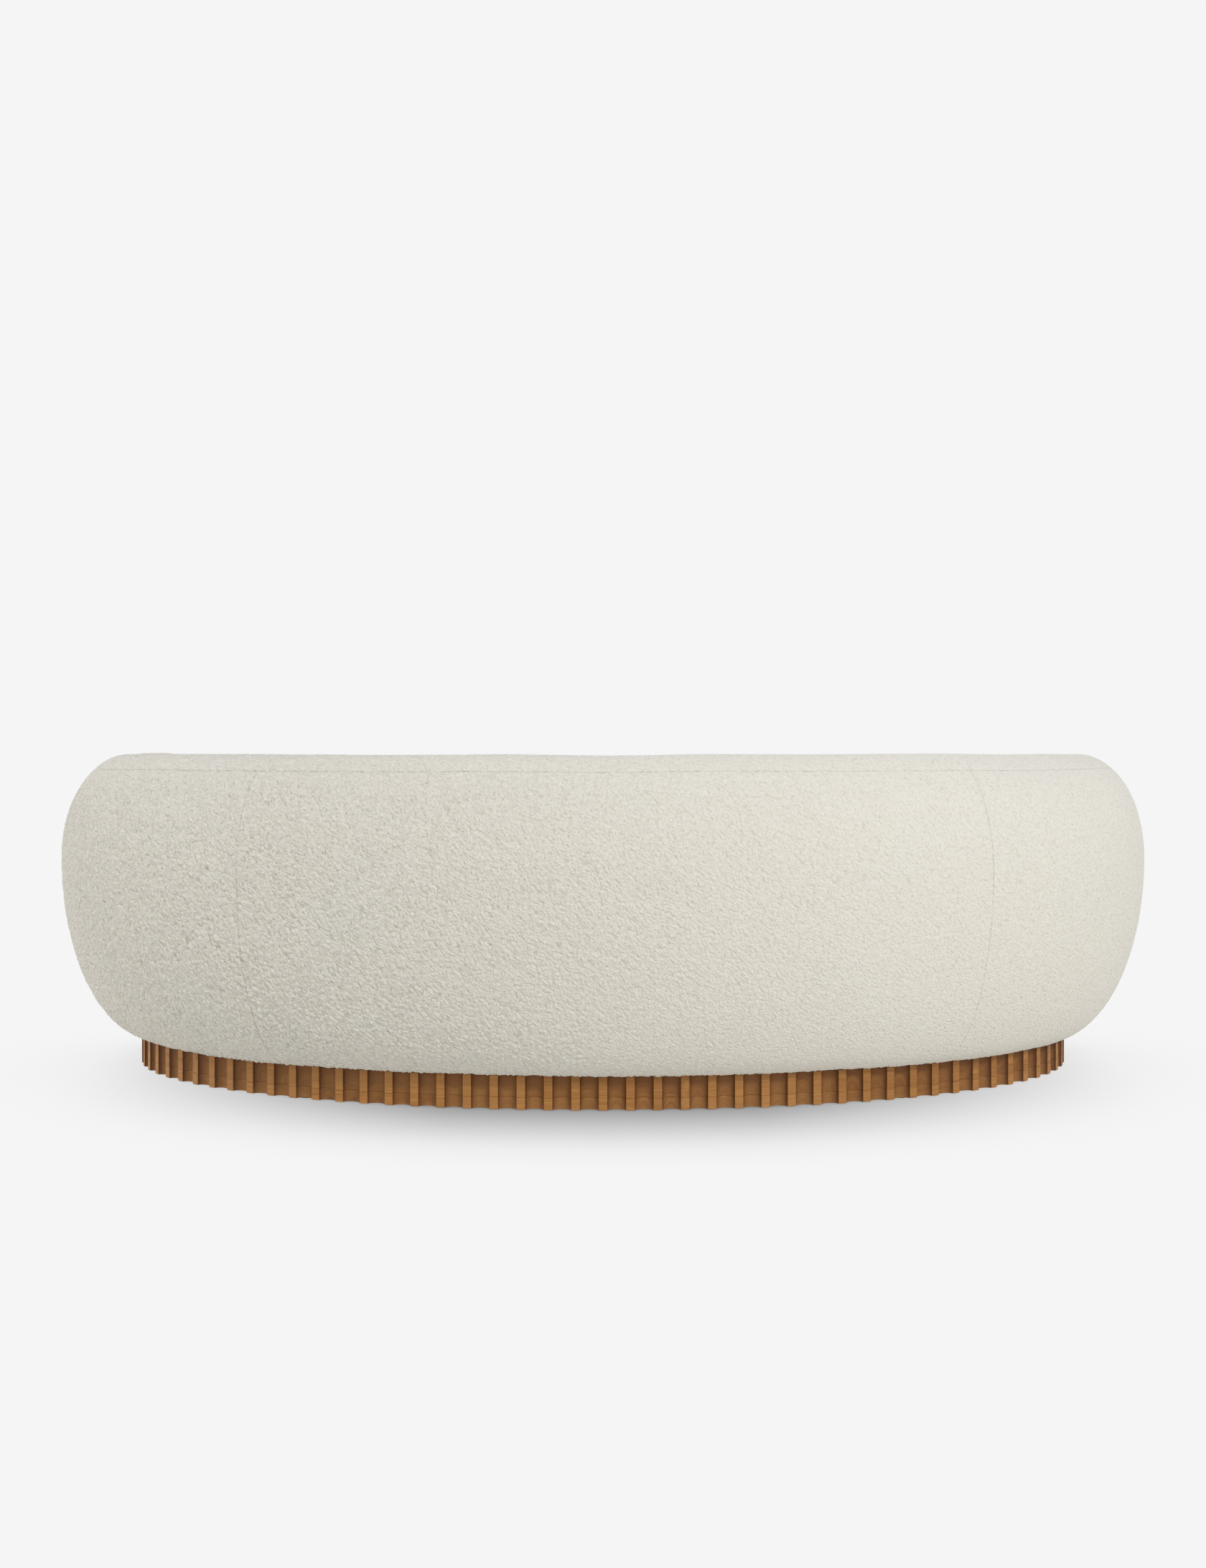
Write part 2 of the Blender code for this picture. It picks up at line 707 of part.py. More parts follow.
def plinth_inside(wood, felt, where):
    front = -PLAN_FRONT + PLINTH_WALL + CROSS_RAIL_CLEAR
    for index, x in enumerate(CROSS_RAILS_X):
        reach = rear_line(x) - PLINTH_WALL - 0.002 - CROSS_RAIL_CLEAR
        timber(f"plinth_cross_rail_{index + 1}", (x, front), (x, reach), CROSS_RAIL_WIDTH,
               GLIDE_H + GAP, CROSS_RAIL_TOP, wood, where)
    spots = [(hand * (PLAN_A - GLIDE_SIDE_IN), y) for hand, y in GLIDES_SIDE]
    spots += [(x, rear_line(x) - GLIDE_REAR_IN) for x in GLIDES_REAR_X]
    spots += GLIDES_FRONT
    spots += GLIDES_MIDDLE
    for index, (x, y) in enumerate(spots):
        glide(f"glide_{index + 1}", x, y, felt, where)


def shell_layers(where):
    """Covers and padding of the back and both arms."""
    inset = COVER + 2 * GAP
    stations = nose_stations(-1, 180, 0)[:-1]
    stations += run_stations(-ARM_END, ARM_END, 0.0)
    stations += nose_stations(1, 0, 180)[1:]
    shell_patch("foam_outer", stations, LEVELS_FOAM_OUTER, inset, FOAM_OUTER, FOAM, where)
    inside = run_stations(ARM_END - 0.002, 0.002 - ARM_END, 180.0)
    shell_patch("foam_inside", inside, LEVELS_FOAM_INSIDE, inset, FOAM_INNER, FOAM, where)
    shell_stack("foam_top_roll", LEVELS_ROLL, inset, FOAM, where)

    plus, minus = SEAM_PLUS_S, SEAM_MINUS_S
    run = run_stations(minus + GAP, plus - GAP, 0.0)
    shell_patch("cover_outer_back", run, LEVELS_BODY, 0.0, COVER, BOUCLE, where)
    run = run_stations(plus + GAP, ARM_END, 0.0) + nose_stations(1, 0, 180)[1:]
    shell_patch("cover_outer_plus", run, LEVELS_BODY, 0.0, COVER, BOUCLE, where)
    run = nose_stations(-1, 180, 0)[:-1] + run_stations(-ARM_END, minus - GAP, 0.0)
    shell_patch("cover_outer_minus", run, LEVELS_BODY, 0.0, COVER, BOUCLE, where)
    shell_patch("cover_inside", inside, LEVELS_COVER_INSIDE, 0.0, COVER, BOUCLE, where)
    shell_lid("cover_top", (SECTION_SEAM + 0.2,) + LEVELS_LID, COVER, BOUCLE, where)


def front_border(where, cutters):
    """Cover and padding across the front, below the cushion, cut clear of both arms."""
    cover = front_sweep("cover_front_border", BORDER_PROFILE, COVER, BORDER_TURN,
                        BORDER_STATIONS, BOUCLE, where)
    padding = front_foam("foam_front_border", BORDER_PADDING, BORDER_PADDING_BACK,
                         BORDER_PADDING_TURN, BORDER_STATIONS, FOAM, where)
    clearance = shell_stack("arm_clearance", LEVELS_BODY + LEVELS_LID, -0.0010, None, cutters)
    clearance.hide_render = True
    clearance.display_type = "WIRE"
    cut(cover, clearance)
    cut(padding, clearance)


def build():
    clear_scene()
    where = make_collection("oval_tub_sofa")
    cutters = make_collection("cutters", hidden=True)
    plinth_blocks(WOOD_A, WOOD_B, where)
    plinth_inside(TIMBER, BLACK, where)
    prism("dust_cover", closed_plan(-PLINTH_WALL - 0.002, 31, 17),
          DUST_COVER_BOTTOM, DUST_COVER_TOP, BLACK, where)
    prism("base_board", board_outline(), BOARD_BOTTOM, BOARD_TOP, TIMBER, where)
    seat_frame(TIMBER, where)
    webbing(BLACK, where)
    for index, s in enumerate(np.linspace(-FRAME_RIB_SPREAD, FRAME_RIB_SPREAD, FRAME_RIBS)):
        rib(f"frame_rib_{index + 1}", float(s), TIMBER_THICK, TIMBER, where)
    top_rail("top_rail", TIMBER, where)
    shell_layers(where)
    front_border(where, cutters)
    prism("seat_deck_pad", closed_plan(CUSHION_OFFSET, 31, 17, DECK_FRONT, DECK_FRONT_POWER),
          DECK_BOTTOM, DECK_TOP, FOAM, where)
    cushion("seat_cushion", BOUCLE, where)


build()
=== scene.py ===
import json
import math
from contextlib import contextmanager
from itertools import product

import bmesh
import bpy
import numpy as np
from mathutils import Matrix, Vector


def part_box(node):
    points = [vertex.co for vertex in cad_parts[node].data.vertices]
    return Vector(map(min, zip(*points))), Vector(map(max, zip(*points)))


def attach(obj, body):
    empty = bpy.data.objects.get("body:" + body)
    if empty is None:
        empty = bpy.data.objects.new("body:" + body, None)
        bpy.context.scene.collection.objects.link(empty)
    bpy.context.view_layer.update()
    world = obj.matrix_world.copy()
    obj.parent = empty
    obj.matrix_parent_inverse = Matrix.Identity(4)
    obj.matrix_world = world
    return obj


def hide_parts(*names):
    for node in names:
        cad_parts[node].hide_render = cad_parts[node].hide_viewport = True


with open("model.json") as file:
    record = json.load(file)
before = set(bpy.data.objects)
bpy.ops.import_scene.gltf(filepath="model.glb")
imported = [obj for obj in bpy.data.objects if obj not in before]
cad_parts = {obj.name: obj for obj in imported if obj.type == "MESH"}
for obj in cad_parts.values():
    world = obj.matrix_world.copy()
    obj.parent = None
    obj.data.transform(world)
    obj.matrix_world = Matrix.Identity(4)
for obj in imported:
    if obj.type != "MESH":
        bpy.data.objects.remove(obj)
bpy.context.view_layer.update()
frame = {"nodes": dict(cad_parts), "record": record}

NODES = frame["nodes"]
ROOT = "frame_and_cover"
CUSHION_BODY = "cushion"

# ------------------------------------------------------------------ positions from the frame


def union_box(names):
    boxes = [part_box(name) for name in names]
    lo = np.min([list(b[0]) for b in boxes], axis=0)
    hi = np.max([list(b[1]) for b in boxes], axis=0)
    return lo, hi


COURSE1 = sorted(n for n in NODES if n.startswith("plinth_course1"))
COURSE2 = sorted(n for n in NODES if n.startswith("plinth_course2"))
LOW1, HIGH1 = union_box(COURSE1)
LOW2, HIGH2 = union_box(COURSE2)
PLINTH_HI = np.maximum(HIGH1, HIGH2)

# The plan: half an ellipse behind and half a superellipse in front, about y = PLAN_Y.
PLAN_A = float(PLINTH_HI[0])
PLAN_BACK = 0.620
PLAN_FRONT = 0.250
PLAN_FRONT_POWER = 4.0
PLAN_Y = float(PLINTH_HI[1]) - PLAN_BACK
ARM_RUN = 0.130         # straight run of each arm in front of the widest point

# The shell's section: offset from the plan line against height.
TOP_Z = float(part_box("cover_top")[1][2])
BOTTOM_Z = float(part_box("cover_outer_back")[0][2])
WIDEST_Z = 0.465
LOW_CENTRE, LOW_A, LOW_H = -0.019, 0.191, 0.3989
HIGH_CENTRE, HIGH_A = 0.029, 0.144
HIGH_H = TOP_Z - WIDEST_Z
INNER_FACE = -0.100
INNER_CENTRE, INNER_A, INNER_H = -0.015, 0.085, 0.140
PSI_START = -82.4       # section angle at the bottom edge
PSI_SEAM = 60.0         # section angle at the top seam
SEAM_PLUS_S, SEAM_MINUS_S = 0.656, -0.704       # the upright seams along the plan line
NOSE_ROUND = 0.40       # length of the outline round the front of one arm
OUTER_LINE, TOP_LINE, INNER_LINE = 0.16, 0.05, -0.09    # offsets at which points are spaced
INNER_CLEAR = 0.0004    # gap at each end of the inside panel
ARM_DROP = 0.0040       # how far the top falls away towards the front of the arms
ARM_DROP_FROM = 0.80    # where along the plan line the fall begins

# Seat.
DECK_Z = float(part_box("seat_deck_pad")[1][2])
SEAT_OFFSET = -0.1035
CUSHION_POWER = 6.0
CUSHION_SHRINK = 0.012  # how much smaller the cushion's cover is before it is filled
DECK_POWER = 12.0

# Boucle.
STEP = 0.00245        # spacing of the mesh points
NUB_SIZE = 0.0084
NUB_HEIGHT = 0.0070
NUB_LEVEL = 0.80        # loop height that lies on the panel's surface
SEAM_WIDTH = 0.0030
SEAM_DEPTH = 0.0022
PANEL_DEPTH = 0.022
BORDER_DEPTH = 0.020
BORDER_RUN = 0.27       # length of the front border's profile
BORDER_TURN = 74.0      # how far round the seat's front it reaches, in degrees each way
COARSE = 9              # the hidden backs of panels keep one point in this many

# Plinth.
RIB_PITCH = 0.0535
RIB_FACE = 0.0168
FLUTE_DEPTH = 0.0125
PLINTH_WALL = 0.045
PLINTH_JOINT = 0.00022
STAVE_LENGTH = 0.305
BLOCKS = len(COURSE1)

# Camera, light and floor.
LENS = 40.53
LENS_SHIFT = -0.0281
CAMERA_BACK = 4.0587
CAMERA_HEIGHT = 0.724
PALE = 0.913            # the backdrop's brightness
BOUNCE = 0.73           # the floor's brightness as it lights the sofa
WORLD_LIGHT = 0.777
WORLD_LEAN = (0.07, 0.02, -0.14)        # how much stronger the light is from each side
WORLD_COOL = (0.93, 0.985, 1.07)        # tint of the cooler part of the light
WORLD_COOL_FROM = (-0.9, 0.0, 0.9)      # where the cooler light comes from
# The floor's shadow is painted: the floor glows and is darkened where ambient occlusion finds
# something near.
FLOOR_NEAR = 0.42       # how far from the sofa the floor begins to darken
FLOOR_SHADE = [(at, (grey, grey, grey)) for at, grey in
               ((0.10, 0.24), (0.45, 0.53), (0.65, 0.75), (0.75, 0.845), (0.90, 0.90),
                (0.97, PALE))]

# Kind, name, place, aim, width in metres (or angle of a sun), power and colour.
LIGHTS = (
    ("AREA", "key", (-1.6, 2.2, 1.2), (-0.3, 0.4, 0.4), 0.9, 3.0, (1.0, 0.99, 0.97)),
    ("SUN", "side", (-2.4, 3.2, 2.6), (0.0, 0.0, 0.0), 0.14, 1.00, (1.0, 0.99, 0.965)),
    ("SUN", "fill", (4.0, -0.4, 1.3), (0.0, 0.0, 0.0), 0.70, 0.96, (0.97, 0.985, 1.0)),
)

# ------------------------------------------------------------------ numeric helpers


def hashed(ix, iy, iz, salt):
    """Repeatable pseudo-random numbers from 0 to 1, one for each cell of a lattice."""
    h = (ix * 73856093) ^ (iy * 19349663) ^ (iz * 83492791) ^ (salt * 2654435)
    h = h & 0x7FFFFFFF
    h = (h ^ (h >> 13)) * 1274126177 & 0x7FFFFFFF
    h = (h ^ (h >> 15)) * 974711 & 0x7FFFFFFF
    return ((h ^ (h >> 11)) & 0xFFFFFF) / float(0x1000000)


def soft_noise(points, scale, salt):
    """Smooth noise from -1 to 1 with features about scale metres across."""
    p = points / scale
    base = np.floor(p).astype(np.int64)
    f = p - base
    f = f * f * (3 - 2 * f)
    total = np.zeros(len(points))
    for corner in product((0, 1), repeat=3):
        weight = np.where(corner, f, 1 - f)
        total += weight[:, 0] * weight[:, 1] * weight[:, 2] * hashed(*(base + corner).T, salt)
    return total * 2 - 1


def loops_field(points, size, salt):
    """Boucle loops: height from 0 (pit) to 1 (crown) and a random tone for each loop."""
    warp = np.stack([soft_noise(points, size * 2.2, salt + k) for k in range(3)], axis=1)
    x, y, z = points.T
    # The loops lie along a diagonal, from low at -X to high at +X.
    p = np.stack([(x - z) * 0.7071, y, (x + z) * 0.7071 * 0.62], axis=1) / size + 0.42 * warp
    base = np.floor(p).astype(np.int64)
    best = np.full(len(points), 9.0)
    second = np.full(len(points), 9.0)
    tone = np.zeros(len(points))
    for beside in product((-1, 0, 1), repeat=3):
        cell = (base + beside).T
        centre = np.stack([at + hashed(*cell, salt + 11 + k) for k, at in enumerate(cell)], axis=1)
        away = np.linalg.norm(p - centre, axis=1)
        nearer = away < best
        second = np.where(nearer, best, np.minimum(second, away))
        tone = np.where(nearer, hashed(*cell, salt + 14), tone)
        best = np.where(nearer, away, best)
    crown = np.clip((second - best) / 0.55, 0, 1)
    dome = np.sqrt(np.clip(1 - (best / 0.95) ** 2, 0, 1))
    return np.clip(0.55 * dome + 0.45 * crown ** 0.5, 0, 1), tone


def even_marks(points, values, step):
    """Values at even distances along a line of points."""
    length = np.concatenate([[0.0], np.cumsum(np.linalg.norm(np.diff(points, axis=0), axis=1))])
    count = max(2, int(math.ceil(length[-1] / step)) + 1)
    return np.interp(np.linspace(0, length[-1], count), length, values)


# ------------------------------------------------------------------ plan and shell surface

ANGLES = np.linspace(0, math.pi / 2, 2001)
ARC = np.concatenate([[0.0], np.cumsum(np.hypot(
    np.diff(PLAN_A * np.sin(ANGLES)), np.diff(PLAN_BACK * np.cos(ANGLES))))])
QUARTER = float(ARC[-1])
ARM_END = QUARTER + ARM_RUN


def plan(s):
    """Points and outward normals of the plan line at signed distances from the back centre."""
    s = np.asarray(s, float)
    side = np.where(s < 0, -1.0, 1.0)
    run = np.abs(s)
    angle = np.interp(np.minimum(run, QUARTER), ARC, ANGLES)
    past = np.maximum(run - QUARTER, 0.0)
    point = np.stack([side * PLAN_A * np.sin(angle), PLAN_BACK * np.cos(angle) - past], axis=-1)
    normal = np.stack([side * np.sin(angle) / PLAN_A, np.cos(angle) / PLAN_BACK], axis=-1)
    normal /= np.linalg.norm(normal, axis=-1, keepdims=True)
    return point, normal


def section(psi):
    """Outer and inner offsets and height of the section at section angles."""
    psi = np.radians(np.asarray(psi, float))
    c, s = np.cos(psi), np.sin(psi)
    high = psi >= 0
    z = WIDEST_Z + np.where(high, HIGH_H, LOW_H) * s
    # The upper arc starts 1 mm further out, so it is drawn in smoothly to meet the lower one.
    apart = (HIGH_CENTRE + HIGH_A) - (LOW_CENTRE + LOW_A)
    ease = apart * 0.5 * (1 + np.cos(np.clip(psi * 4, 0, np.pi)))
    outer = np.where(high, HIGH_CENTRE + HIGH_A * c - ease, LOW_CENTRE + LOW_A * c)
    lift = np.clip((z - (TOP_Z - INNER_H)) / INNER_H, 0, 1)
    inner = np.where(lift > 0, INNER_CENTRE - INNER_A * np.sqrt(1 - lift ** 2), INNER_FACE)
    return outer, inner, z


def shell(s, turn, psi, flat):
    """Points of the shell; turn is 0 outside and 180 inside, flat runs 1 to 0 over the top."""
    s, turn, psi, flat = np.broadcast_arrays(s, turn, psi, flat)
    outer, inner, z = section(psi)
    middle, half = (outer + inner) / 2, (outer - inner) / 2 * flat
    point, normal = plan(s)
    xy = point + normal * (middle + half * np.cos(np.radians(turn)))[..., None]
    y = xy[..., 1] - half * np.sin(np.radians(turn)) + PLAN_Y
    fall = np.clip((np.abs(s) - ARM_DROP_FROM) / (ARM_END - ARM_DROP_FROM), 0, 1)
    fall = ARM_DROP * fall * fall * (3 - 2 * fall)
    z = z - fall * np.clip((z - WIDEST_Z) / HIGH_H, 0, 1)
    return np.stack([xy[..., 0], y, z], axis=-1)


def psi_marks(start, end, step):
    dense = np.linspace(start, end, 1500)
    outer, _, z = section(dense)
    return even_marks(np.stack([outer, z], axis=1), dense, step)


def s_marks(start, end, offset, step):
    dense = np.linspace(start, end, 3000)
    point, normal = plan(dense)
    return even_marks(point + normal * offset, dense, step)


def nose_marks(step):
    return np.linspace(0, 180, int(math.ceil(NOSE_ROUND / step)) + 1)


def grid_normals(grid, wrap=False):
    if wrap:
        across = np.roll(grid, -1, axis=1) - np.roll(grid, 1, axis=1)
    else:
        across = np.gradient(grid, axis=1)
    up = np.gradient(grid, axis=0)
    normal = np.cross(across, up)
    size = np.linalg.norm(normal, axis=-1, keepdims=True)
    return normal / np.maximum(size, 1e-12)


# ------------------------------------------------------------------ mesh helpers


def new_object(name, verts, faces, smooth=True):
    """A mesh object from vertices and a list of face index arrays, each of one face size."""
    mesh = bpy.data.meshes.new(name)
    verts = np.asarray(verts, np.float32)
    mesh.vertices.add(len(verts))
    mesh.vertices.foreach_set("co", verts.ravel())
    counts = np.concatenate([np.full(len(f), f.shape[1]) for f in faces if len(f)])
    loops = np.concatenate([f.ravel() for f in faces if len(f)])
    mesh.loops.add(len(loops))
    mesh.loops.foreach_set("vertex_index", loops.astype(np.int32))
    mesh.polygons.add(len(counts))
    starts = np.concatenate([[0], np.cumsum(counts)[:-1]])
    mesh.polygons.foreach_set("loop_start", starts.astype(np.int32))
    mesh.update(calc_edges=True)
    mesh.validate()
    if smooth:
        mesh.shade_smooth()
    made = bpy.data.objects.new(name, mesh)
    bpy.context.scene.collection.objects.link(made)
    return made


def float_layer(obj, name, values):
    layer = obj.data.attributes.new(name, "FLOAT", "POINT")
    layer.data.foreach_set("value", np.asarray(values, np.float32))


def vector_layer(obj, name, values):
    layer = obj.data.attributes.new(name, "FLOAT_VECTOR", "POINT")
    layer.data.foreach_set("vector", np.asarray(values, np.float32).ravel())


def rim_path(rows, cols, wrap):
    """Grid places round the rim; a wrapped grid has only its lowest row open."""
    if wrap:
        return [(rows[0], c) for c in cols]
    path = [(rows[0], c) for c in cols]
    path += [(r, cols[-1]) for r in rows[1:]]
    path += [(rows[-1], c) for c in cols[-2::-1]]
    path += [(r, cols[0]) for r in rows[-2:0:-1]]
    return path


def thinned(count):
    marks = np.unique(np.round(np.linspace(0, count - 1, max(2, count // COARSE))).astype(int))
    return [int(m) for m in marks]


def grid_quads(rows, cols, wrap, start=0, backwards=False):
    r, c = np.meshgrid(np.arange(rows - 1), np.arange(cols if wrap else cols - 1), indexing="ij")
    r, c = r.ravel(), c.ravel()
    after = (c + 1) % cols
    quads = np.stack([r * cols + c, r * cols + after, (r + 1) * cols + after, (r + 1) * cols + c],
                     axis=1) + start
    return quads[:, ::-1] if backwards else quads


def closed_skin(name, base, front, normals, depth, wrap=False):
    """A closed padded panel: fine front, plain coarse back and a rim between the two."""
    rows, cols = front.shape[:2]
    sub_r = thinned(rows)
    sub_c = list(range(0, cols, COARSE)) if wrap else thinned(cols)
    back = (base - normals * depth)[np.ix_(sub_r, sub_c)]
    verts = np.concatenate([front.reshape(-1, 3), back.reshape(-1, 3)])
    first_back = rows * cols
    quads = [grid_quads(rows, cols, wrap),
             grid_quads(len(sub_r), len(sub_c), wrap, first_back, backwards=True)]
    fine = rim_path(list(range(rows)), list(range(cols)), wrap)
    coarse = rim_path(sub_r, sub_c, wrap)
    row_at = {r: i for i, r in enumerate(sub_r)}
    col_at = {c: i for i, c in enumerate(sub_c)}

    def back_index(spot):
        return first_back + row_at[spot[0]] * len(sub_c) + col_at[spot[1]]

    marks = set(coarse)
    tris = []
    held = back_index(coarse[0])
    for here, after in zip(fine, fine[1:] + fine[:1]):
        a, b = here[0] * cols + here[1], after[0] * cols + after[1]
        tris.append((b, a, held))
        if after in marks:
            following = back_index(after)
            tris.append((held, following, b))
            held = following
    return new_object(name, verts, [np.concatenate(quads), np.array(tris)])


@contextmanager
def edited(obj):
    """The object's mesh as a bmesh, written back at the end."""
    work = bmesh.new()
    work.from_mesh(obj.data)
    yield work
    work.to_mesh(obj.data)
    work.free()


def weld(obj, distance=2e-5):
    with edited(obj) as work:
        bmesh.ops.remove_doubles(work, verts=work.verts, dist=distance)
    obj.data.shade_smooth()


def face_out(obj):
    with edited(obj) as work:
        bmesh.ops.recalc_face_normals(work, faces=work.faces)


def smooth_by_angle(obj, degrees):
    """Smooth shading that leaves edges sharper than the angle as they are."""
    obj.data.shade_smooth()
    with edited(obj) as work:
        for edge in work.edges:
            sharp = edge.is_manifold and edge.calc_face_angle(0.0) > math.radians(degrees)
            edge.smooth = not sharp


# ------------------------------------------------------------------ materials


class Nodes:
    """Short forms for building a node tree."""

    def __init__(self, tree):
        self.tree = tree

    def feed(self, value, socket):
        """Links an output to a socket, or gives the socket a number, a vector or a colour."""
        if isinstance(value, bpy.types.NodeSocket):
            self.tree.links.new(value, socket)
        elif socket.type == "RGBA":
            socket.default_value = (*value, 1)
        else:
            socket.default_value = value

    def add(self, kind, inputs=None, **settings):
        node = self.tree.nodes.new(kind)
        for key, value in settings.items():
            setattr(node, key, value)
        for key, value in (inputs or {}).items():
            self.feed(value, node.inputs[key])
        return node

    def attribute(self, name, out="Fac"):
        return self.add("ShaderNodeAttribute", attribute_name=name).outputs[out]

    def position(self):
        return self.add("ShaderNodeTexCoord").outputs["Object"]

    def parts(self, vector):
        return self.add("ShaderNodeSeparateXYZ", {"Vector": vector}).outputs

    def stretched(self, values, factors):
        """A vector of three values, each times its factor."""
        inputs = {axis: self.math("MULTIPLY", value, factor)
                  for axis, value, factor in zip("XYZ", values, factors)}
        return self.add("ShaderNodeCombineXYZ", inputs).outputs["Vector"]

    def mapped(self, source, scale, shift=(0, 0, 0)):
        inputs = {"Vector": source, "Scale": scale, "Location": shift}
        return self.add("ShaderNodeMapping", inputs).outputs["Vector"]

    def noise(self, source, scale, detail=3.0, roughness=0.5, distortion=0.0, out="Fac"):
        inputs = {"Vector": source, "Scale": scale, "Detail": detail, "Roughness": roughness,
                  "Distortion": distortion}
        return self.add("ShaderNodeTexNoise", inputs).outputs[out]

    def voronoi(self, source, scale):
        return self.add("ShaderNodeTexVoronoi", {"Vector": source, "Scale": scale}).outputs

    def ramp(self, fac, stops):
        node = self.add("ShaderNodeValToRGB", {"Fac": fac})
        ramp = node.color_ramp
        while len(ramp.elements) < len(stops):
            ramp.elements.new(0.5)
        for element, (at, colour) in zip(ramp.elements, stops):
            element.position = at
            element.color = (*colour, 1)
        return node.outputs["Color"]

    def spread(self, value, low, high, to_low=0.0, to_high=1.0):
        inputs = {"Value": value, "From Min": low, "From Max": high, "To Min": to_low,
                  "To Max": to_high}
        return self.add("ShaderNodeMapRange", inputs).outputs["Result"]

    def math(self, operation, a, b=None):
        inputs = {0: a} if b is None else {0: a, 1: b}
        return self.add("ShaderNodeMath", inputs, operation=operation).outputs["Value"]

    def along(self, vector, direction):
        inputs = {0: vector, 1: direction}
        return self.add("ShaderNodeVectorMath", inputs, operation="DOT_PRODUCT").outputs["Value"]

    def mix(self, fac, a, b):
        return self.add("ShaderNodeMix", {0: fac, 6: a, 7: b}, data_type="RGBA").outputs[2]

    def bump(self, height, strength, distance):
        inputs = {"Height": height, "Strength": strength, "Distance": distance}
        return self.add("ShaderNodeBump", inputs).outputs["Normal"]


class Look(Nodes):
    """A node material."""

    def __init__(self, name):
        self.material = bpy.data.materials.new(name)
        self.material.use_nodes = True
        super().__init__(self.material.node_tree)

    def finish(self, **values):
        shader = self.tree.nodes["Principled BSDF"]
        for key, value in values.items():
            self.feed(value, shader.inputs[key.replace("_", " ")])
        return self.material


def boucle_material():
    """Cream looped yarn with painted shade in the hollows between uneven loops, faint warm patches
    and odd dark slubs.
    """
    n = Look("boucle_cream")
    place = n.position()
    drift = n.noise(place, 70.0, 1.0, out="Color")
    bent = n.add("ShaderNodeMix", {0: 0.006, 4: place, 5: drift}, data_type="VECTOR")
    turned = n.add("ShaderNodeMapping", {"Vector": bent.outputs[1],
                                         "Rotation": (0.0, math.radians(45), 0.0),
                                         "Scale": (1.0, 1.0, 1.40)}, vector_type="TEXTURE")
    loop_place = turned.outputs["Vector"]
    loops = n.voronoi(loop_place, 225.0)
    distance = loops["Distance"]
    random = n.add("ShaderNodeSeparateColor", {"Color": loops["Color"]}).outputs["Red"]
    curls = n.voronoi(loop_place, 480.0)["Distance"]
    fibres = n.noise(place, 1100.0, 2.0)
    nub = n.attribute("nub")
    tone = n.attribute("loop_tone")
    # Painted shade: the colour darkens from the middle of each loop out to the hollows between
    # loops.
    colour = n.ramp(distance, [(0.10, (0.832, 0.792, 0.712)), (0.45, (0.800, 0.758, 0.675)),
                               (0.68, (0.772, 0.727, 0.640)), (0.90, (0.700, 0.650, 0.560))])
    x = n.parts(place)["X"]
    # Painted shade in the hollows between the mesh loops, laid on more strongly towards +X.
    plus_x_shade_factor = n.spread(x, -0.60, 0.60, 0.10, 0.42)
    pit_shade = n.math("MULTIPLY", n.spread(nub, 0.62, 0.10), plus_x_shade_factor)
    patch = n.noise(place, 5.5, 3.0)
    cool = n.noise(n.mapped(place, (1, 1, 1), (7, 3, 1)), 3.0, 2.0)
    speck = n.voronoi(place, 52.0)["Distance"]
    keep = n.noise(place, 9.0, 1.0)
    dark = n.math("MULTIPLY", n.spread(speck, 0.040, 0.065, 1.0, 0.0),
                  n.spread(keep, 0.57, 0.62, 0.0, 0.80))
    # The first two tints are painted shade in the hollows between the mesh loops and the small
    # curls; the rest are the yarn's own tones, patches and slubs.
    for share, tint in ((pit_shade, (0.500, 0.450, 0.365)),
                        (n.spread(curls, 0.55, 0.90, 0.0, 0.10), (0.520, 0.470, 0.385)),
                        (n.spread(random, 0.60, 1.0, 0.0, 0.14), (0.930, 0.905, 0.840)),
                        (n.spread(tone, 0.0, 0.35, 0.08, 0.0), (0.640, 0.598, 0.515)),
                        (n.spread(patch, 0.52, 0.75, 0.0, 0.14), (0.760, 0.690, 0.610)),
                        (n.spread(cool, 0.50, 0.78, 0.0, 0.16), (0.720, 0.728, 0.690)),
                        (dark, (0.16, 0.13, 0.10))):
        colour = n.mix(share, colour, tint)
    height = n.math("ADD", n.math("MULTIPLY", distance, -1.0), n.math("MULTIPLY", curls, -0.40))
    height = n.math("ADD", height, n.math("MULTIPLY", fibres, 0.12))
    stand = n.spread(x, -0.60, 0.60, 0.60, 1.25)
    normal = n.bump(n.math("MULTIPLY", height, stand), 1.0, 0.0026)
    return n.finish(Base_Color=colour, Normal=normal, Roughness=0.96, Sheen_Weight=0.14,
                    Sheen_Roughness=0.55, Specular_IOR_Level=0.10)


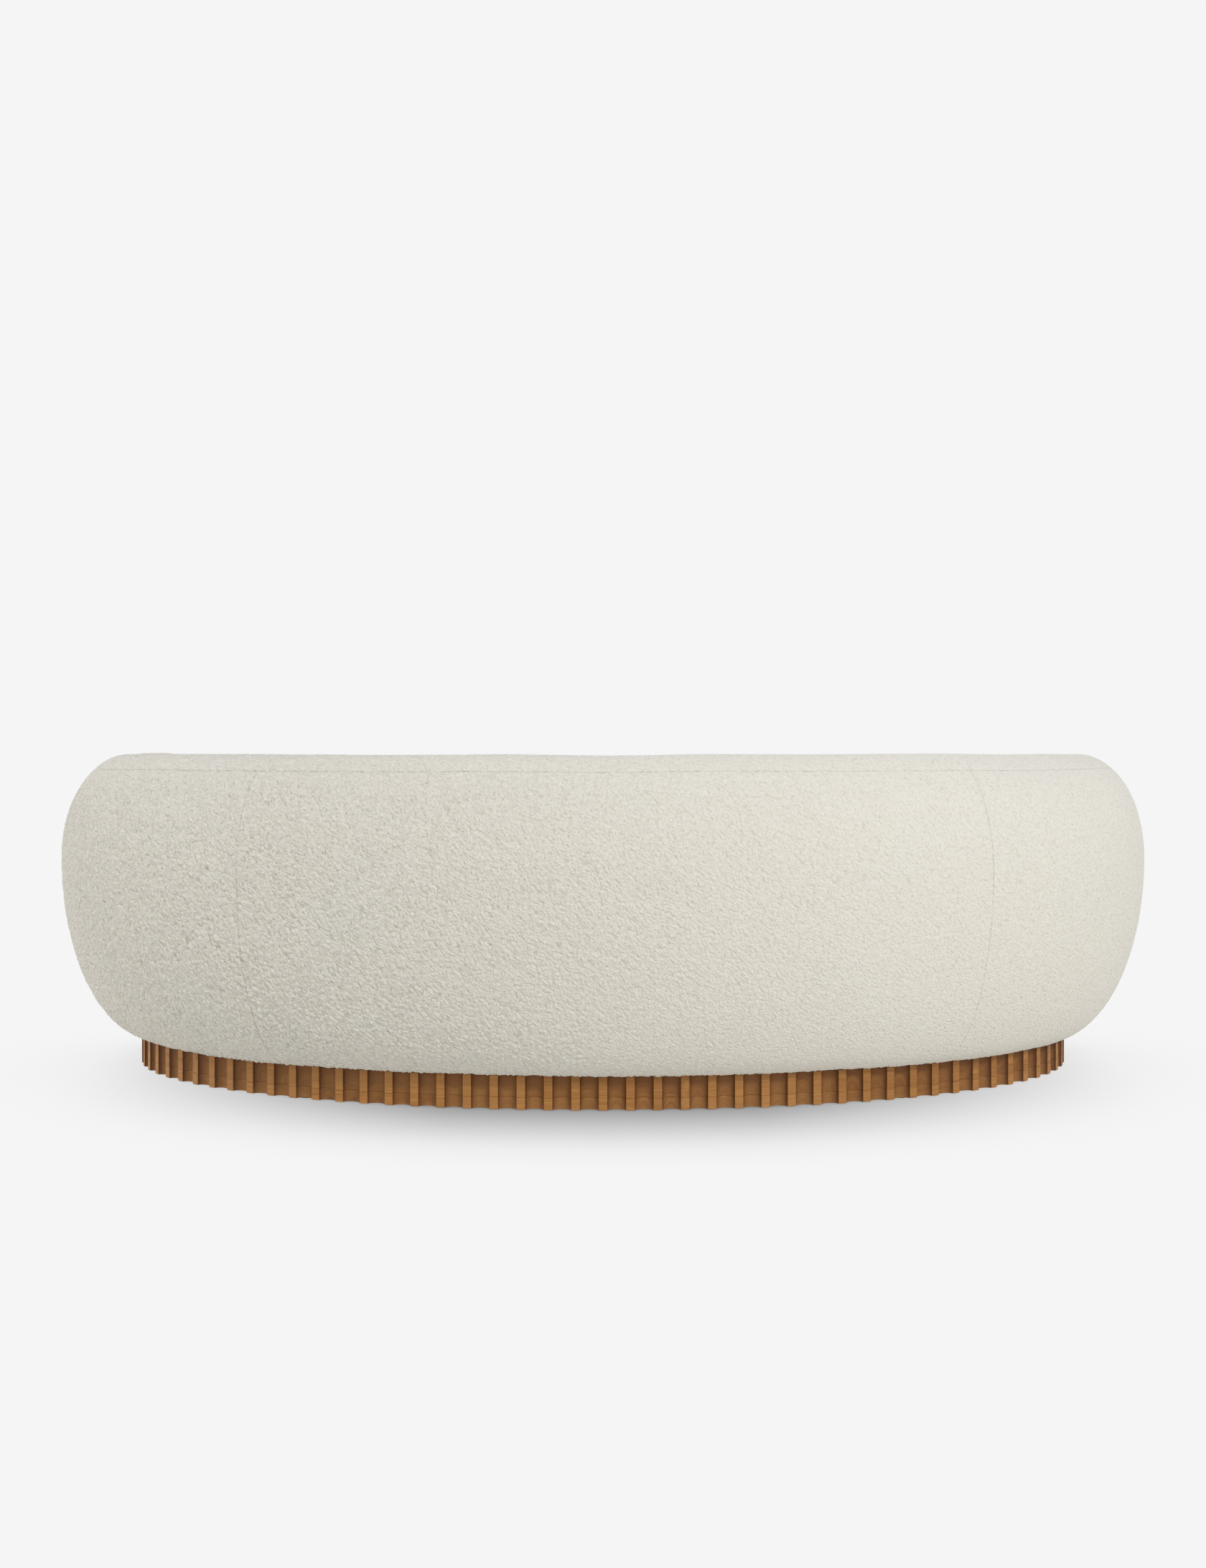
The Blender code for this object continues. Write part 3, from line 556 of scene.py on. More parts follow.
def plinth_material():
    """Laminated wood with the grain lying along the plinth, in staggered staves, with painted shade
    beside the ribs, in the flutes and under the cover.
    """
    n = Look("plinth_oiled_wood")
    s, ring, z = n.parts(n.attribute("grain", "Vector"))
    depth = n.attribute("flute_depth")
    stave = n.math("FLOOR", n.math("DIVIDE", s, STAVE_LENGTH))
    seed = n.math("ADD", n.math("MULTIPLY", n.attribute("course"), 37.7), stave)
    stave_tone = n.add("ShaderNodeTexWhiteNoise", {"W": seed}, noise_dimensions="1D")
    stave_tone = stave_tone.outputs["Value"]
    streak = n.noise(n.stretched((s, ring, stave_tone), (7.0, 520.0, 50.0)), 1.0, 4.0, 0.62, 0.35)
    bands = n.noise(n.stretched((s, ring, stave_tone), (3.0, 120.0, 31.0)), 1.0, 3.0, 0.55, 0.6)
    pores = n.noise(n.stretched((s, ring, depth), (60.0, 1700.0, 200.0)), 1.0, 2.0)
    colour = n.ramp(streak, [(0.25, (0.200, 0.076, 0.018)), (0.48, (0.339, 0.143, 0.030)),
                             (0.62, (0.419, 0.186, 0.043)), (0.80, (0.484, 0.227, 0.058))])
    # Painted shade on the flute walls beside each rib, fading towards the middle of each flute.
    corner = n.math("MULTIPLY", n.spread(depth, 0.0001, 0.0012, 0.0, 1.0),
                    n.spread(depth, 0.0035, 0.0122, 1.0, 0.30))
    # Painted shade under the overhanging cover: the wood darkens towards the top of the plinth,
    # more so deep in the flutes.
    upper = n.spread(z, float(HIGH1[2]) - 0.0002, float(PLINTH_HI[2]), 0.15, 1.0)
    hollow = n.spread(depth, 0.0001, 0.0100, 0.10, 0.55)
    # The fourth and fifth tints are painted shade; the others are grain bands, pores and stave
    # tones.
    for share, tint in ((n.spread(bands, 0.42, 0.66, 0.0, 0.45), (0.270, 0.105, 0.023)),
                        (n.spread(pores, 0.60, 0.78, 0.0, 0.50), (0.130, 0.047, 0.010)),
                        (n.spread(stave_tone, 0.0, 1.0, 0.0, 0.40), (0.472, 0.227, 0.068)),
                        (n.math("MULTIPLY", corner, 0.92), (0.093, 0.028, 0.003)),
                        (n.math("MULTIPLY", upper, hollow), (0.167, 0.054, 0.011))):
        colour = n.mix(share, colour, tint)
    height = n.math("ADD", streak, n.math("MULTIPLY", pores, -0.6))
    return n.finish(Base_Color=colour, Normal=n.bump(height, 0.35, 0.0004),
                    Roughness=n.spread(bands, 0.3, 0.7, 0.50, 0.62), Specular_IOR_Level=0.35)


def timber_material():
    n = Look("frame_timber")
    place = n.position()
    streak = n.noise(n.mapped(place, (3.0, 60.0, 90.0)), 1.0, 4.0, 0.6, 0.4)
    knots = n.noise(n.mapped(place, (6.0, 14.0, 14.0)), 1.0, 2.0)
    colour = n.ramp(streak, [(0.3, (0.36, 0.23, 0.12)), (0.7, (0.58, 0.42, 0.25))])
    colour = n.mix(n.spread(knots, 0.60, 0.75, 0.0, 0.5), colour, (0.26, 0.15, 0.07))
    return n.finish(Base_Color=colour, Normal=n.bump(streak, 0.4, 0.0006), Roughness=0.72,
                    Specular_IOR_Level=0.3)


def weave_material(name, light, dark, pitch):
    """A plain weave seen as crossing yarns."""
    n = Look(name)
    place = n.position()
    x, y, _ = n.parts(place)
    warp, weft = (n.math("SINE", n.math("MULTIPLY", axis, 2 * math.pi / pitch)) for axis in (x, y))
    cross = n.math("MULTIPLY", warp, weft)
    yarn = n.noise(place, 90.0, 3.0)
    height = n.math("ADD", n.math("MULTIPLY", cross, 0.5), n.math("MULTIPLY", yarn, 0.6))
    return n.finish(Base_Color=n.mix(n.spread(height, -0.3, 0.9), dark, light),
                    Normal=n.bump(height, 0.6, pitch * 0.25), Roughness=0.92,
                    Specular_IOR_Level=0.2)


def moulded_material():
    n = Look("glide_moulded")
    place = n.position()
    grain = n.noise(place, 900.0, 2.0)
    wear = n.noise(place, 60.0, 3.0)
    colour = n.mix(n.spread(wear, 0.5, 0.7), (0.020, 0.020, 0.021), (0.045, 0.044, 0.042))
    return n.finish(Base_Color=colour, Normal=n.bump(grain, 0.3, 0.0002),
                    Roughness=n.spread(wear, 0.3, 0.7, 0.45, 0.65))


BOUCLE = boucle_material()
WOOD = plinth_material()
TIMBER = timber_material()
BLACK_CLOTH = weave_material("black_cloth", (0.030, 0.030, 0.031), (0.008, 0.008, 0.008), 0.0016)
WEBBING = weave_material("webbing_cloth", (0.060, 0.058, 0.055), (0.012, 0.012, 0.012), 0.0030)
DECK_CLOTH = weave_material("deck_cloth", (0.560, 0.520, 0.440), (0.300, 0.270, 0.220), 0.0022)
MOULDED = moulded_material()

# ------------------------------------------------------------------ upholstered shell


def seam_dip(away):
    return np.exp(-(away / SEAM_WIDTH) ** 2)


def dress(points, normals, dips):
    """Moves points out by the boucle loops and soft padding, and in along the seams."""
    flat_points = points.reshape(-1, 3)
    nub, tone = loops_field(flat_points, NUB_SIZE, 5)
    small, _ = loops_field(flat_points, NUB_SIZE * 0.55, 91)
    height = 0.68 * nub + 0.32 * small
    soft = 0.0016 * soft_noise(flat_points, 0.22, 41) + 0.0008 * soft_noise(flat_points, 0.09, 42)
    dip = dips.reshape(-1)
    loops = NUB_HEIGHT * (height - NUB_LEVEL) * (1 - 0.55 * dip) * nap(flat_points)
    move = loops + soft - SEAM_DEPTH * dip
    moved = flat_points + normals.reshape(-1, 3) * move[:, None]
    # The loop height handed back is lowered along the seams, so the painted shade of the loop
    # hollows darkens the seams too.
    return moved.reshape(points.shape), height * (1 - 0.45 * dip), tone


def mark_loops(obj, nub, tone):
    """Writes the loops' height and tone to the vertices, with middling values on plain backs."""
    extra = len(obj.data.vertices) - len(nub)
    float_layer(obj, "nub", np.concatenate([nub, np.full(extra, 0.3)]))
    float_layer(obj, "loop_tone", np.concatenate([tone, np.full(extra, 0.5)]))


def nap(points):
    """How high the loops stand: brushed a little flatter towards -X and along the top."""
    crest = np.clip((points[:, 2] - 0.62) / 0.06, 0, 1)
    return (0.68 + 0.40 * np.tanh((points[:, 0] - 0.05) / 0.40)) * (1 - 0.5 * crest)


def fray(front, grid):
    """Yarn ends hang unevenly over the wood along the lowest edge."""
    away = np.linalg.norm(grid - grid[:1], axis=-1)
    near = np.exp(-(away / 0.006) ** 2)
    flat_points = grid.reshape(-1, 3)
    ends = (0.6 * soft_noise(flat_points, 0.0045, 61) + 0.4 * soft_noise(flat_points, 0.011, 62))
    front = front.copy()
    front[..., 2] -= near * (0.0004 + 0.0024 * ends.reshape(away.shape))
    return front


def shell_panel(name, s, turn, psi, seams, replaced, ragged=True):
    """One upholstered panel over a rectangle of stations and section angles."""
    grid = shell(s[None, :], turn[None, :], psi[:, None], 1.0)
    normals = grid_normals(grid)
    centre = plan(s)[0] + np.array([0.0, PLAN_Y])
    outward = np.concatenate([grid[..., :2] - centre[None], np.zeros(grid.shape[:2] + (1,))], -1)
    if np.sum(normals * outward) < 0:
        normals = -normals
    dips = np.zeros(grid.shape[:2])
    for edge, strength in seams:
        line = {"top": grid[-1:, :], "start": grid[:, :1], "end": grid[:, -1:]}[edge]
        away = np.linalg.norm(grid - line, axis=-1)
        dips = np.maximum(dips, seam_dip(away) * strength(grid))
    front, nub, tone = dress(grid, normals, dips)
    if ragged:
        front = fray(front, grid)
    made = closed_skin(name, grid, front, normals, PANEL_DEPTH)
    mark_loops(made, nub, tone)
    face_out(made)
    padded_panel(made, replaced)


def finish_piece(obj, material, body, replaced):
    obj.data.materials.clear()
    obj.data.materials.append(material)
    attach(obj, body)
    if replaced:
        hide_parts(*replaced)


def padded_panel(obj, replaced):
    """An upholstered panel: boucle over padding, sewn to its neighbours."""
    finish_piece(obj, BOUCLE, ROOT, replaced)


def steady(grid):
    """A seam that shows all along, a little unevenly, and less towards -X."""
    broken = soft_noise(grid.reshape(-1, 3), 0.035, 78).reshape(grid.shape[:2])
    return 0.34 + 0.18 * broken + 0.26 * np.tanh(grid[..., 0] / 0.3)


def fading(grid):
    """A seam that the loops hide more and more towards -X."""
    x = grid[..., 0]
    hide = np.clip((x + 0.25) / 0.75, 0, 1)
    broken = 0.5 + 0.5 * soft_noise(grid.reshape(-1, 3), 0.05, 77).reshape(x.shape)
    return 0.08 + 0.50 * hide + 0.20 * broken


def build_shell():
    """The outer back, the two outer arms and the inside, sewn edge to edge."""
    seams = [("top", fading), ("start", steady), ("end", steady)]
    psi = psi_marks(PSI_START, PSI_SEAM, STEP)
    back = s_marks(SEAM_MINUS_S, SEAM_PLUS_S, OUTER_LINE, STEP)
    shell_panel("outer_back_panel", back, np.zeros_like(back), psi, seams,
                ["cover_outer_back", "foam_outer"])
    turns = nose_marks(STEP)[1:]
    for hand, side in ((1, "plus"), (-1, "minus")):
        start = SEAM_PLUS_S if hand > 0 else -SEAM_MINUS_S
        run = s_marks(start, ARM_END, OUTER_LINE, STEP) * hand
        s = np.concatenate([run, np.full(len(turns), hand * ARM_END)])
        turn = np.concatenate([np.zeros(len(run)), turns])
        shell_panel(f"outer_arm_panel_{side}", s, turn, psi, seams, [f"cover_outer_{side}"])
    inside = s_marks(ARM_END - INNER_CLEAR, INNER_CLEAR - ARM_END, INNER_LINE, STEP)
    low = math.degrees(math.asin((float(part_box("cover_inside")[0][2]) - WIDEST_Z) / LOW_H))
    psi_in = psi_marks(low, PSI_SEAM, STEP)
    shell_panel("inside_back_panel", inside, np.full(len(inside), 180.0), psi_in,
                [("top", steady), ("start", steady), ("end", steady)],
                ["cover_inside", "foam_inside"], ragged=False)


def build_top():
    """The top panel: a closed ring of stations over the top roll, zipped along its middle."""
    turns = nose_marks(STEP)
    run = s_marks(-ARM_END, ARM_END, TOP_LINE, STEP)
    s = np.concatenate([run, np.full(len(turns) - 1, ARM_END),
                        run[::-1][1:], np.full(len(turns) - 2, -ARM_END)])
    turn = np.concatenate([np.zeros(len(run)), turns[1:],
                           np.full(len(run) - 1, 180.0), turns[::-1][1:-1]])
    psi = psi_marks(PSI_SEAM, 90.0, STEP)
    flats = np.linspace(1, 0, 8)[1:]
    psi_all = np.concatenate([psi, np.full(len(flats), 90.0)])
    flat_all = np.concatenate([np.ones(len(psi)), flats])
    grid = shell(s[None, :], turn[None, :], psi_all[:, None], flat_all[:, None])
    normals = grid_normals(grid, wrap=True)
    normals[len(psi) - 1:] = (0.0, 0.0, 1.0)
    if normals[len(psi) - 3, 3, 2] < 0:
        normals[:len(psi) - 1] *= -1
    away = np.linalg.norm(grid - grid[:1], axis=-1)
    front, nub, tone = dress(grid, normals, seam_dip(away) * fading(grid))
    made = closed_skin("top_panel", grid, front, normals, PANEL_DEPTH, wrap=True)
    mark_loops(made, nub, tone)
    weld(made)
    face_out(made)
    padded_panel(made, ["cover_top", "foam_top_roll"])


# ------------------------------------------------------------------ front border


def superellipse(turn, half, depth, power):
    """Points and outward normals of the front outline; turn 0 is the middle of the front."""
    c, s = np.cos(np.radians(turn)), np.sin(np.radians(turn))
    x = half * np.sign(s) * np.abs(s) ** (2 / power)
    y = -depth * np.maximum(c, 0) ** (2 / power)
    nx = np.sign(x) * (np.abs(x) / half) ** (power - 1) / half
    ny = -((np.abs(y) / depth) ** (power - 1)) / depth
    normal = np.stack([nx, ny], axis=-1)
    return np.stack([x, y], axis=-1), normal / np.linalg.norm(normal, axis=-1, keepdims=True)


def smooth_line(points, count):
    """A smooth curve through a few (offset, height) points, at even distances."""
    points = np.asarray(points, float)
    padded = np.concatenate([[2 * points[0] - points[1]], points, [2 * points[-1] - points[-2]]])
    pieces = []
    t = np.linspace(0, 1, 24, endpoint=False)[:, None]
    for k in range(len(points) - 1):
        a, b, c, d = padded[k:k + 4]
        pieces.append(0.5 * (2 * b + (c - a) * t + (2 * a - 5 * b + 4 * c - d) * t ** 2
                             + (3 * b - a - 3 * c + d) * t ** 3))
    dense = np.concatenate(pieces + [points[-1:]])
    length = np.concatenate([[0], np.cumsum(np.linalg.norm(np.diff(dense, axis=0), axis=1))])
    marks = np.linspace(0, length[-1], count)
    return np.stack([np.interp(marks, length, dense[:, k]) for k in range(2)], axis=1)


def build_front_border():
    """The padded band under the seat's front, from the plinth up to the deck."""
    top = float(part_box("cover_front_border")[1][2])
    profile = [(0.006, BOTTOM_Z), (0.020, 0.097), (0.029, 0.130), (0.031, 0.170),
               (0.026, 0.210), (0.012, 0.240), (-0.008, top - 0.0030), (-0.030, top - 0.0005)]
    line = smooth_line(profile, int(BORDER_RUN / STEP))
    dense = np.linspace(BORDER_TURN, -BORDER_TURN, 3000)
    point, normal = superellipse(dense, PLAN_A, PLAN_FRONT, PLAN_FRONT_POWER)
    turns = even_marks(point + normal * 0.03, -dense, STEP)
    point, normal = superellipse(-turns, PLAN_A, PLAN_FRONT, PLAN_FRONT_POWER)
    xy = point[None] + normal[None] * line[:, 0][:, None, None]
    grid = np.concatenate([xy, np.broadcast_to(line[:, 1][:, None, None], xy.shape[:2] + (1,))], -1)
    grid = grid + np.array([0.0, PLAN_Y, 0.0])
    normals = grid_normals(grid)
    if normals[10, grid.shape[1] // 2, 1] > 0:
        normals = -normals
    front, nub, tone = dress(grid, normals, np.zeros(grid.shape[:2]))
    made = closed_skin("front_border_panel", grid, front, normals, BORDER_DEPTH)
    mark_loops(made, nub, tone)
    face_out(made)
    padded_panel(made, ["cover_front_border", "foam_front_border"])


# ------------------------------------------------------------------ seat


def seat_outline(offset, depth, power, step):
    """Closed outline of the seat: inside the shell behind, a superellipse in front."""
    rear_s = s_marks(-QUARTER, QUARTER, offset, step)
    point, normal = plan(rear_s)
    rear = point + normal * offset
    dense = np.linspace(90.0, -90.0, 2001)
    line = superellipse(dense, PLAN_A + offset, depth, power)[0]
    turns = even_marks(line, -dense, step)[1:-1]
    fore = superellipse(-turns, PLAN_A + offset, depth, power)[0]
    return np.concatenate([rear, fore]) + np.array([0.0, PLAN_Y])


def inward(outline):
    ahead = np.roll(outline, -1, axis=0) - np.roll(outline, 1, axis=0)
    normal = np.stack([ahead[:, 1], -ahead[:, 0]], axis=1)
    normal /= np.linalg.norm(normal, axis=1, keepdims=True)
    if np.sum(normal * (outline - outline.mean(axis=0))) > 0:
        normal = -normal
    return normal


def pillow(name, outline, profile, top_z, rings):
    """Closed body: profile holds (inset, height) up the side, then rings run in to the middle."""
    normal = inward(outline)
    centre = np.array([0.0, float(outline[:, 1].mean())])
    loops = [np.concatenate([outline + normal * a, np.full((len(outline), 1), z)], 1)
             for a, z in profile]
    edge = outline + normal * profile[-1][0]
    for share in rings:
        ring = centre + (edge - centre) * (1 - share)
        loops.append(np.concatenate([ring, np.full((len(outline), 1), top_z)], 1))
    low = outline + normal * profile[0][0]
    flat = np.full((len(outline), 1), profile[0][1])
    under = [np.concatenate([centre + (low - centre) * (1 - share), flat], 1)
             for share in rings[::-1]]
    loops = under + loops
    quads = grid_quads(len(loops), len(outline), True)
    made = new_object(name, np.concatenate(loops), [quads])
    with edited(made) as work:
        bmesh.ops.holes_fill(work, edges=[e for e in work.edges if e.is_boundary])
        bmesh.ops.triangulate(work, faces=[f for f in work.faces if len(f.verts) > 4])
        bmesh.ops.recalc_face_normals(work, faces=work.faces)
    return made


def apply_modifiers(obj):
    graph = bpy.context.evaluated_depsgraph_get()
    mesh = bpy.data.meshes.new_from_object(obj.evaluated_get(graph))
    obj.modifiers.clear()
    old = obj.data
    obj.data = mesh
    bpy.data.meshes.remove(old)


def coords(obj):
    co = np.empty(len(obj.data.vertices) * 3, np.float32)
    obj.data.vertices.foreach_get("co", co)
    return co.reshape(-1, 3).astype(float)


def set_coords(obj, co):
    obj.data.vertices.foreach_set("co", np.asarray(co, np.float32).ravel())
    obj.data.update()


def vertex_normals(obj):
    out = np.empty(len(obj.data.vertices) * 3, np.float32)
    obj.data.vertex_normals.foreach_get("vector", out)
    return out.reshape(-1, 3).astype(float)


def swell(obj, cap):
    """Cloth filled with air for some frames, with each point's movement capped."""
    frames = 20
    start = coords(obj)
    cloth = obj.modifiers.new("Fill", "CLOTH")
    settings = cloth.settings
    settings.quality = 4
    settings.mass = 0.4
    settings.use_pressure = True
    settings.uniform_pressure_force = 4.0
    settings.tension_stiffness = 12
    settings.compression_stiffness = 12
    settings.shear_stiffness = 6
    settings.bending_stiffness = 3.0
    settings.effector_weights.gravity = 0.0
    cloth.collision_settings.use_collision = False
    cloth.point_cache.frame_start = 1
    cloth.point_cache.frame_end = frames
    scene = bpy.context.scene
    for number in range(1, frames + 1):
        scene.frame_set(number)
        bpy.context.view_layer.update()
    graph = bpy.context.evaluated_depsgraph_get()
    moved = np.array([v.co[:] for v in obj.evaluated_get(graph).data.vertices])
    obj.modifiers.clear()
    scene.frame_set(1)
    shift = moved - start
    size = np.linalg.norm(shift, axis=1, keepdims=True)
    shift *= np.minimum(1.0, cap / np.maximum(size, 1e-9))
    set_coords(obj, start + shift)


def build_cushion():
    lo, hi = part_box("seat_cushion")
    bottom, top = float(lo[2]), float(hi[2])
    depth = -(float(lo[1]) - PLAN_Y)
    outline = seat_outline(SEAT_OFFSET - CUSHION_SHRINK, depth - CUSHION_SHRINK,
                           CUSHION_POWER, 0.020)
    profile = [(0.014, bottom + 0.001), (0.004, bottom + 0.006), (0.0, bottom + 0.022),
               (0.0, top - 0.050), (0.004, top - 0.034), (0.016, top - 0.026)]
    made = pillow("seat_cushion_piece", outline, profile, top - 0.022, [0.12, 0.3, 0.5, 0.7, 0.88])
    remesh = made.modifiers.new("Even", "REMESH")
    remesh.mode = "VOXEL"
    remesh.voxel_size = 0.014
    apply_modifiers(made)
    swell(made, 0.022)
    co = coords(made)
    # The underside rests flat, and the sides stay clear of the arms and back.
    co[:, 2] = np.clip(co[:, 2], bottom + 0.0005, top + 0.004)
    co = inside_seat(co, depth)
    set_coords(made, co)
    subdivide = made.modifiers.new("Smooth", "SUBSURF")
    subdivide.levels = subdivide.render_levels = 2
    apply_modifiers(made)
    points, normals = coords(made), vertex_normals(made)
    dips = cushion_seams(points, normals, bottom, top)
    moved, nub, tone = dress(points, normals, dips)
    moved[:, 2] = np.maximum(moved[:, 2], DECK_Z + 0.0008)
    set_coords(made, moved)
    mark_loops(made, nub, tone)
    made.data.shade_smooth()
    finish_piece(made, BOUCLE, CUSHION_BODY, ["seat_cushion"])


def inside_seat(co, depth):
    """Pulls points back inside the seat's outline where they have swollen past it."""
    outline = seat_outline(SEAT_OFFSET, depth, CUSHION_POWER, 0.010)
    normal = inward(outline)
    for start in range(0, len(co), 4000):
        part = co[start:start + 4000]
        away = np.linalg.norm(part[:, None, :2] - outline[None], axis=2)
        near = away.argmin(axis=1)
        deep = np.sum((part[:, :2] - outline[near]) * normal[near], axis=1)
        push = np.maximum(0.0, 0.002 - deep)
        part[:, :2] += normal[near] * push[:, None]
    return co


def cushion_seams(points, normals, bottom, top):
    """Seams where the side band meets the top and bottom panels."""
    side = np.abs(normals[:, 2])
    upper = np.exp(-((points[:, 2] - (top - 0.030)) / 0.0035) ** 2) * (side < 0.93)
    lower = np.exp(-((points[:, 2] - (bottom + 0.022)) / 0.0035) ** 2) * (side < 0.93)
    return 0.7 * np.maximum(upper, lower)


def build_deck():
    """Decking cloth over a thin pad, seen when the cushion is lifted."""
    lo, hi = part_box("seat_deck_pad")
    bottom, top = float(lo[2]), float(hi[2])
    depth = -(float(lo[1]) - PLAN_Y)
    outline = seat_outline(SEAT_OFFSET, depth, DECK_POWER, 0.008)
    profile = [(0.002, bottom), (0.0, bottom + 0.004), (0.0, top - 0.006), (0.0015, top - 0.002),
               (0.006, top - 0.0004)]
    rings = [0.01, 0.02, 0.03, 0.04, 0.05, 0.06, 0.09, 0.14, 0.2, 0.3, 0.4, 0.5, 0.6, 0.7, 0.8, 0.9]
    made = pillow("seat_deck_cloth", outline, profile, top, rings)
    co = coords(made)
    normal = vertex_normals(made)
    upward = normal[:, 2] > 0.7
    sag = 0.0012 * (soft_noise(co, 0.18, 51) - 1)
    co[:, 2] += np.where(upward, sag, 0.0)
    set_coords(made, co)
    made.data.shade_smooth()
    finish_piece(made, DECK_CLOTH, ROOT, ["seat_deck_pad"])


# ------------------------------------------------------------------ plinth


def plinth_line():
    """Points, outward normals and running lengths once round the plinth."""
    s = np.linspace(0, QUARTER, 3000)
    rear, rear_n = plan(s)
    turns = np.linspace(90.0, -90.0, 12001)[1:-1]
    fore, fore_n = superellipse(turns, PLAN_A, PLAN_FRONT, PLAN_FRONT_POWER)
    last, last_n = plan(np.linspace(-QUARTER, 0, 3000))
    points = np.concatenate([rear, fore, last])
    normals = np.concatenate([rear_n, fore_n, last_n])
    steps = np.hypot(*np.diff(points, axis=0).T)
    return points, normals, np.concatenate([[0.0], np.cumsum(steps)])


def flute(mark, pitch):
    """Depth of the fluting at running lengths; each arris is eased a little."""
    away = np.abs((mark + pitch / 2) % pitch - pitch / 2)
    edge = RIB_FACE / 2
    across = np.clip((away - edge) / (pitch / 2 - edge), 0, 1)
    depth = FLUTE_DEPTH * np.sqrt(1 - (1 - across) ** 2)
    ease = 0.0003 * np.exp(-((away - edge) / 0.0005) ** 2)
    return depth + ease


def block_marks(start, end, pitch):
    """Running lengths at which the face has points, close together beside each arris."""
    edge = RIB_FACE / 2
    hollow = pitch - RIB_FACE
    rel = [-edge + 0.0004, -edge + 0.0012, -edge / 2, 0.0, edge / 2, edge - 0.0012, edge - 0.0004,
           edge, edge + 0.0003]
    rel += [edge + hollow * share for share in
            (0.02, 0.045, 0.08, 0.12, 0.17, 0.23, 0.30, 0.38, 0.46, 0.54, 0.62, 0.70, 0.77, 0.83,
             0.88, 0.92, 0.955, 0.98)]
    rel += [pitch - edge - 0.0003, pitch - edge]
    first = int(start / pitch) - 2
    last = int(end / pitch) + 2
    marks = [start, end] + [rib * pitch + r for rib in range(first, last) for r in rel]
    marks = np.unique(np.round([m for m in marks if start <= m <= end], 6))
    keep = np.concatenate([[True], np.diff(marks) > 0.00012])
    return marks[keep]


def plinth_block(name, line, start, end, z0, z1, pitch, course, replaced):
    """One glued block of a course: a fluted face, a plain back and flat ends."""
    points, normals, length = line
    marks = block_marks(start, end, pitch)
    spot = marks % length[-1]
    p, n = (np.stack([np.interp(spot, length, table[:, k]) for k in range(2)], axis=1)
            for table in (points, normals))
    n /= np.linalg.norm(n, axis=1, keepdims=True)
    deep = flute(marks, pitch)
    back = p - n * PLINTH_WALL
    rows = []
    for z in (z0, *np.linspace(z0 + 0.0005, z1 - 0.0005, 7), z1):
        bevel = 0.0004 if z in (z0, z1) else 0.0
        # Faint unevenness left by the cutter.
        wave = 0.00018 * np.sin(z * 900 + marks * 31) + 0.00012 * np.sin(z * 2300 - marks * 77)
        face = p - n * (deep + bevel + wave)[:, None]
        row = np.concatenate([face, back[::-1]]) + np.array([0.0, PLAN_Y])
        rows.append(np.concatenate([row, np.full((len(row), 1), z)], 1))
    verts = np.concatenate(rows)
    cols = len(rows[0])
    i = np.arange(len(marks) - 1)
    cap = np.stack([i, i + 1, cols - 2 - i, cols - 1 - i], axis=1)
    quads = [grid_quads(len(rows), cols, True), cap[:, ::-1], cap + (len(rows) - 1) * cols]
    made = new_object(name, verts, quads, smooth=False)
    face_out(made)
    along = np.tile(np.concatenate([marks, marks[::-1]]), len(rows))
    depth = np.tile(np.concatenate([deep, np.full(len(deep), PLINTH_WALL)]), len(rows))
    wood_layers(made, along, depth, verts[:, 2], course)
    smooth_by_angle(made, 28.0)
    finish_piece(made, WOOD, ROOT, replaced)


def wood_layers(obj, along, depth, z, course):
    """Writes each point's place in the log, its depth in the flutes and its course."""
    stave = np.floor(along / STAVE_LENGTH) + 17 * course
    # Each stave is sawn from another place in the log, so its rings have another centre.
    centre_z = 0.030 + 0.11 * (hashed(stave.astype(np.int64), 3, 5, 61) - 0.5)
    centre_d = 0.050 + 0.050 * hashed(stave.astype(np.int64), 7, 2, 62)
    ring = np.hypot(z - centre_z, depth - centre_d) + 0.0012 * np.sin(along * 9.0 + stave)
    vector_layer(obj, "grain", np.stack([along, ring, z], axis=1))
    float_layer(obj, "flute_depth", depth)
    float_layer(obj, "course", np.full(len(z), float(course)))


def build_plinth():
    line = plinth_line()
    total = float(line[2][-1])
    pitch = total / round(total / RIB_PITCH)
    block = total / BLOCKS
    for course, (names, low, high) in enumerate(((COURSE1, LOW1, HIGH1), (COURSE2, LOW2, HIGH2))):
        for index, node in enumerate(names):
            start = (index + 0.30 + 0.5 * course) * block + PLINTH_JOINT / 2
            end = start + block - PLINTH_JOINT
            plinth_block(f"plinth_c{course + 1}_b{index + 1}", line, start, end, float(low[2]),
                         float(high[2]), pitch, course, [node])


# ------------------------------------------------------------------ carried-over nodes


def dress_nodes():
    """Gives the CAD nodes that stay in view their materials."""
    looks = {"frame_timber": TIMBER, "black_cloth": BLACK_CLOTH, "glide": MOULDED}
    slots = {p["node"]: p["material_slot"] for p in frame["record"]["subparts"]}
    for name, obj in NODES.items():
        look = looks.get(slots[name])
        if name.startswith("webbing"):
            look = WEBBING
        if look is not None:
            obj.data.materials.clear()
            obj.data.materials.append(look)


# ------------------------------------------------------------------ camera, light, floor


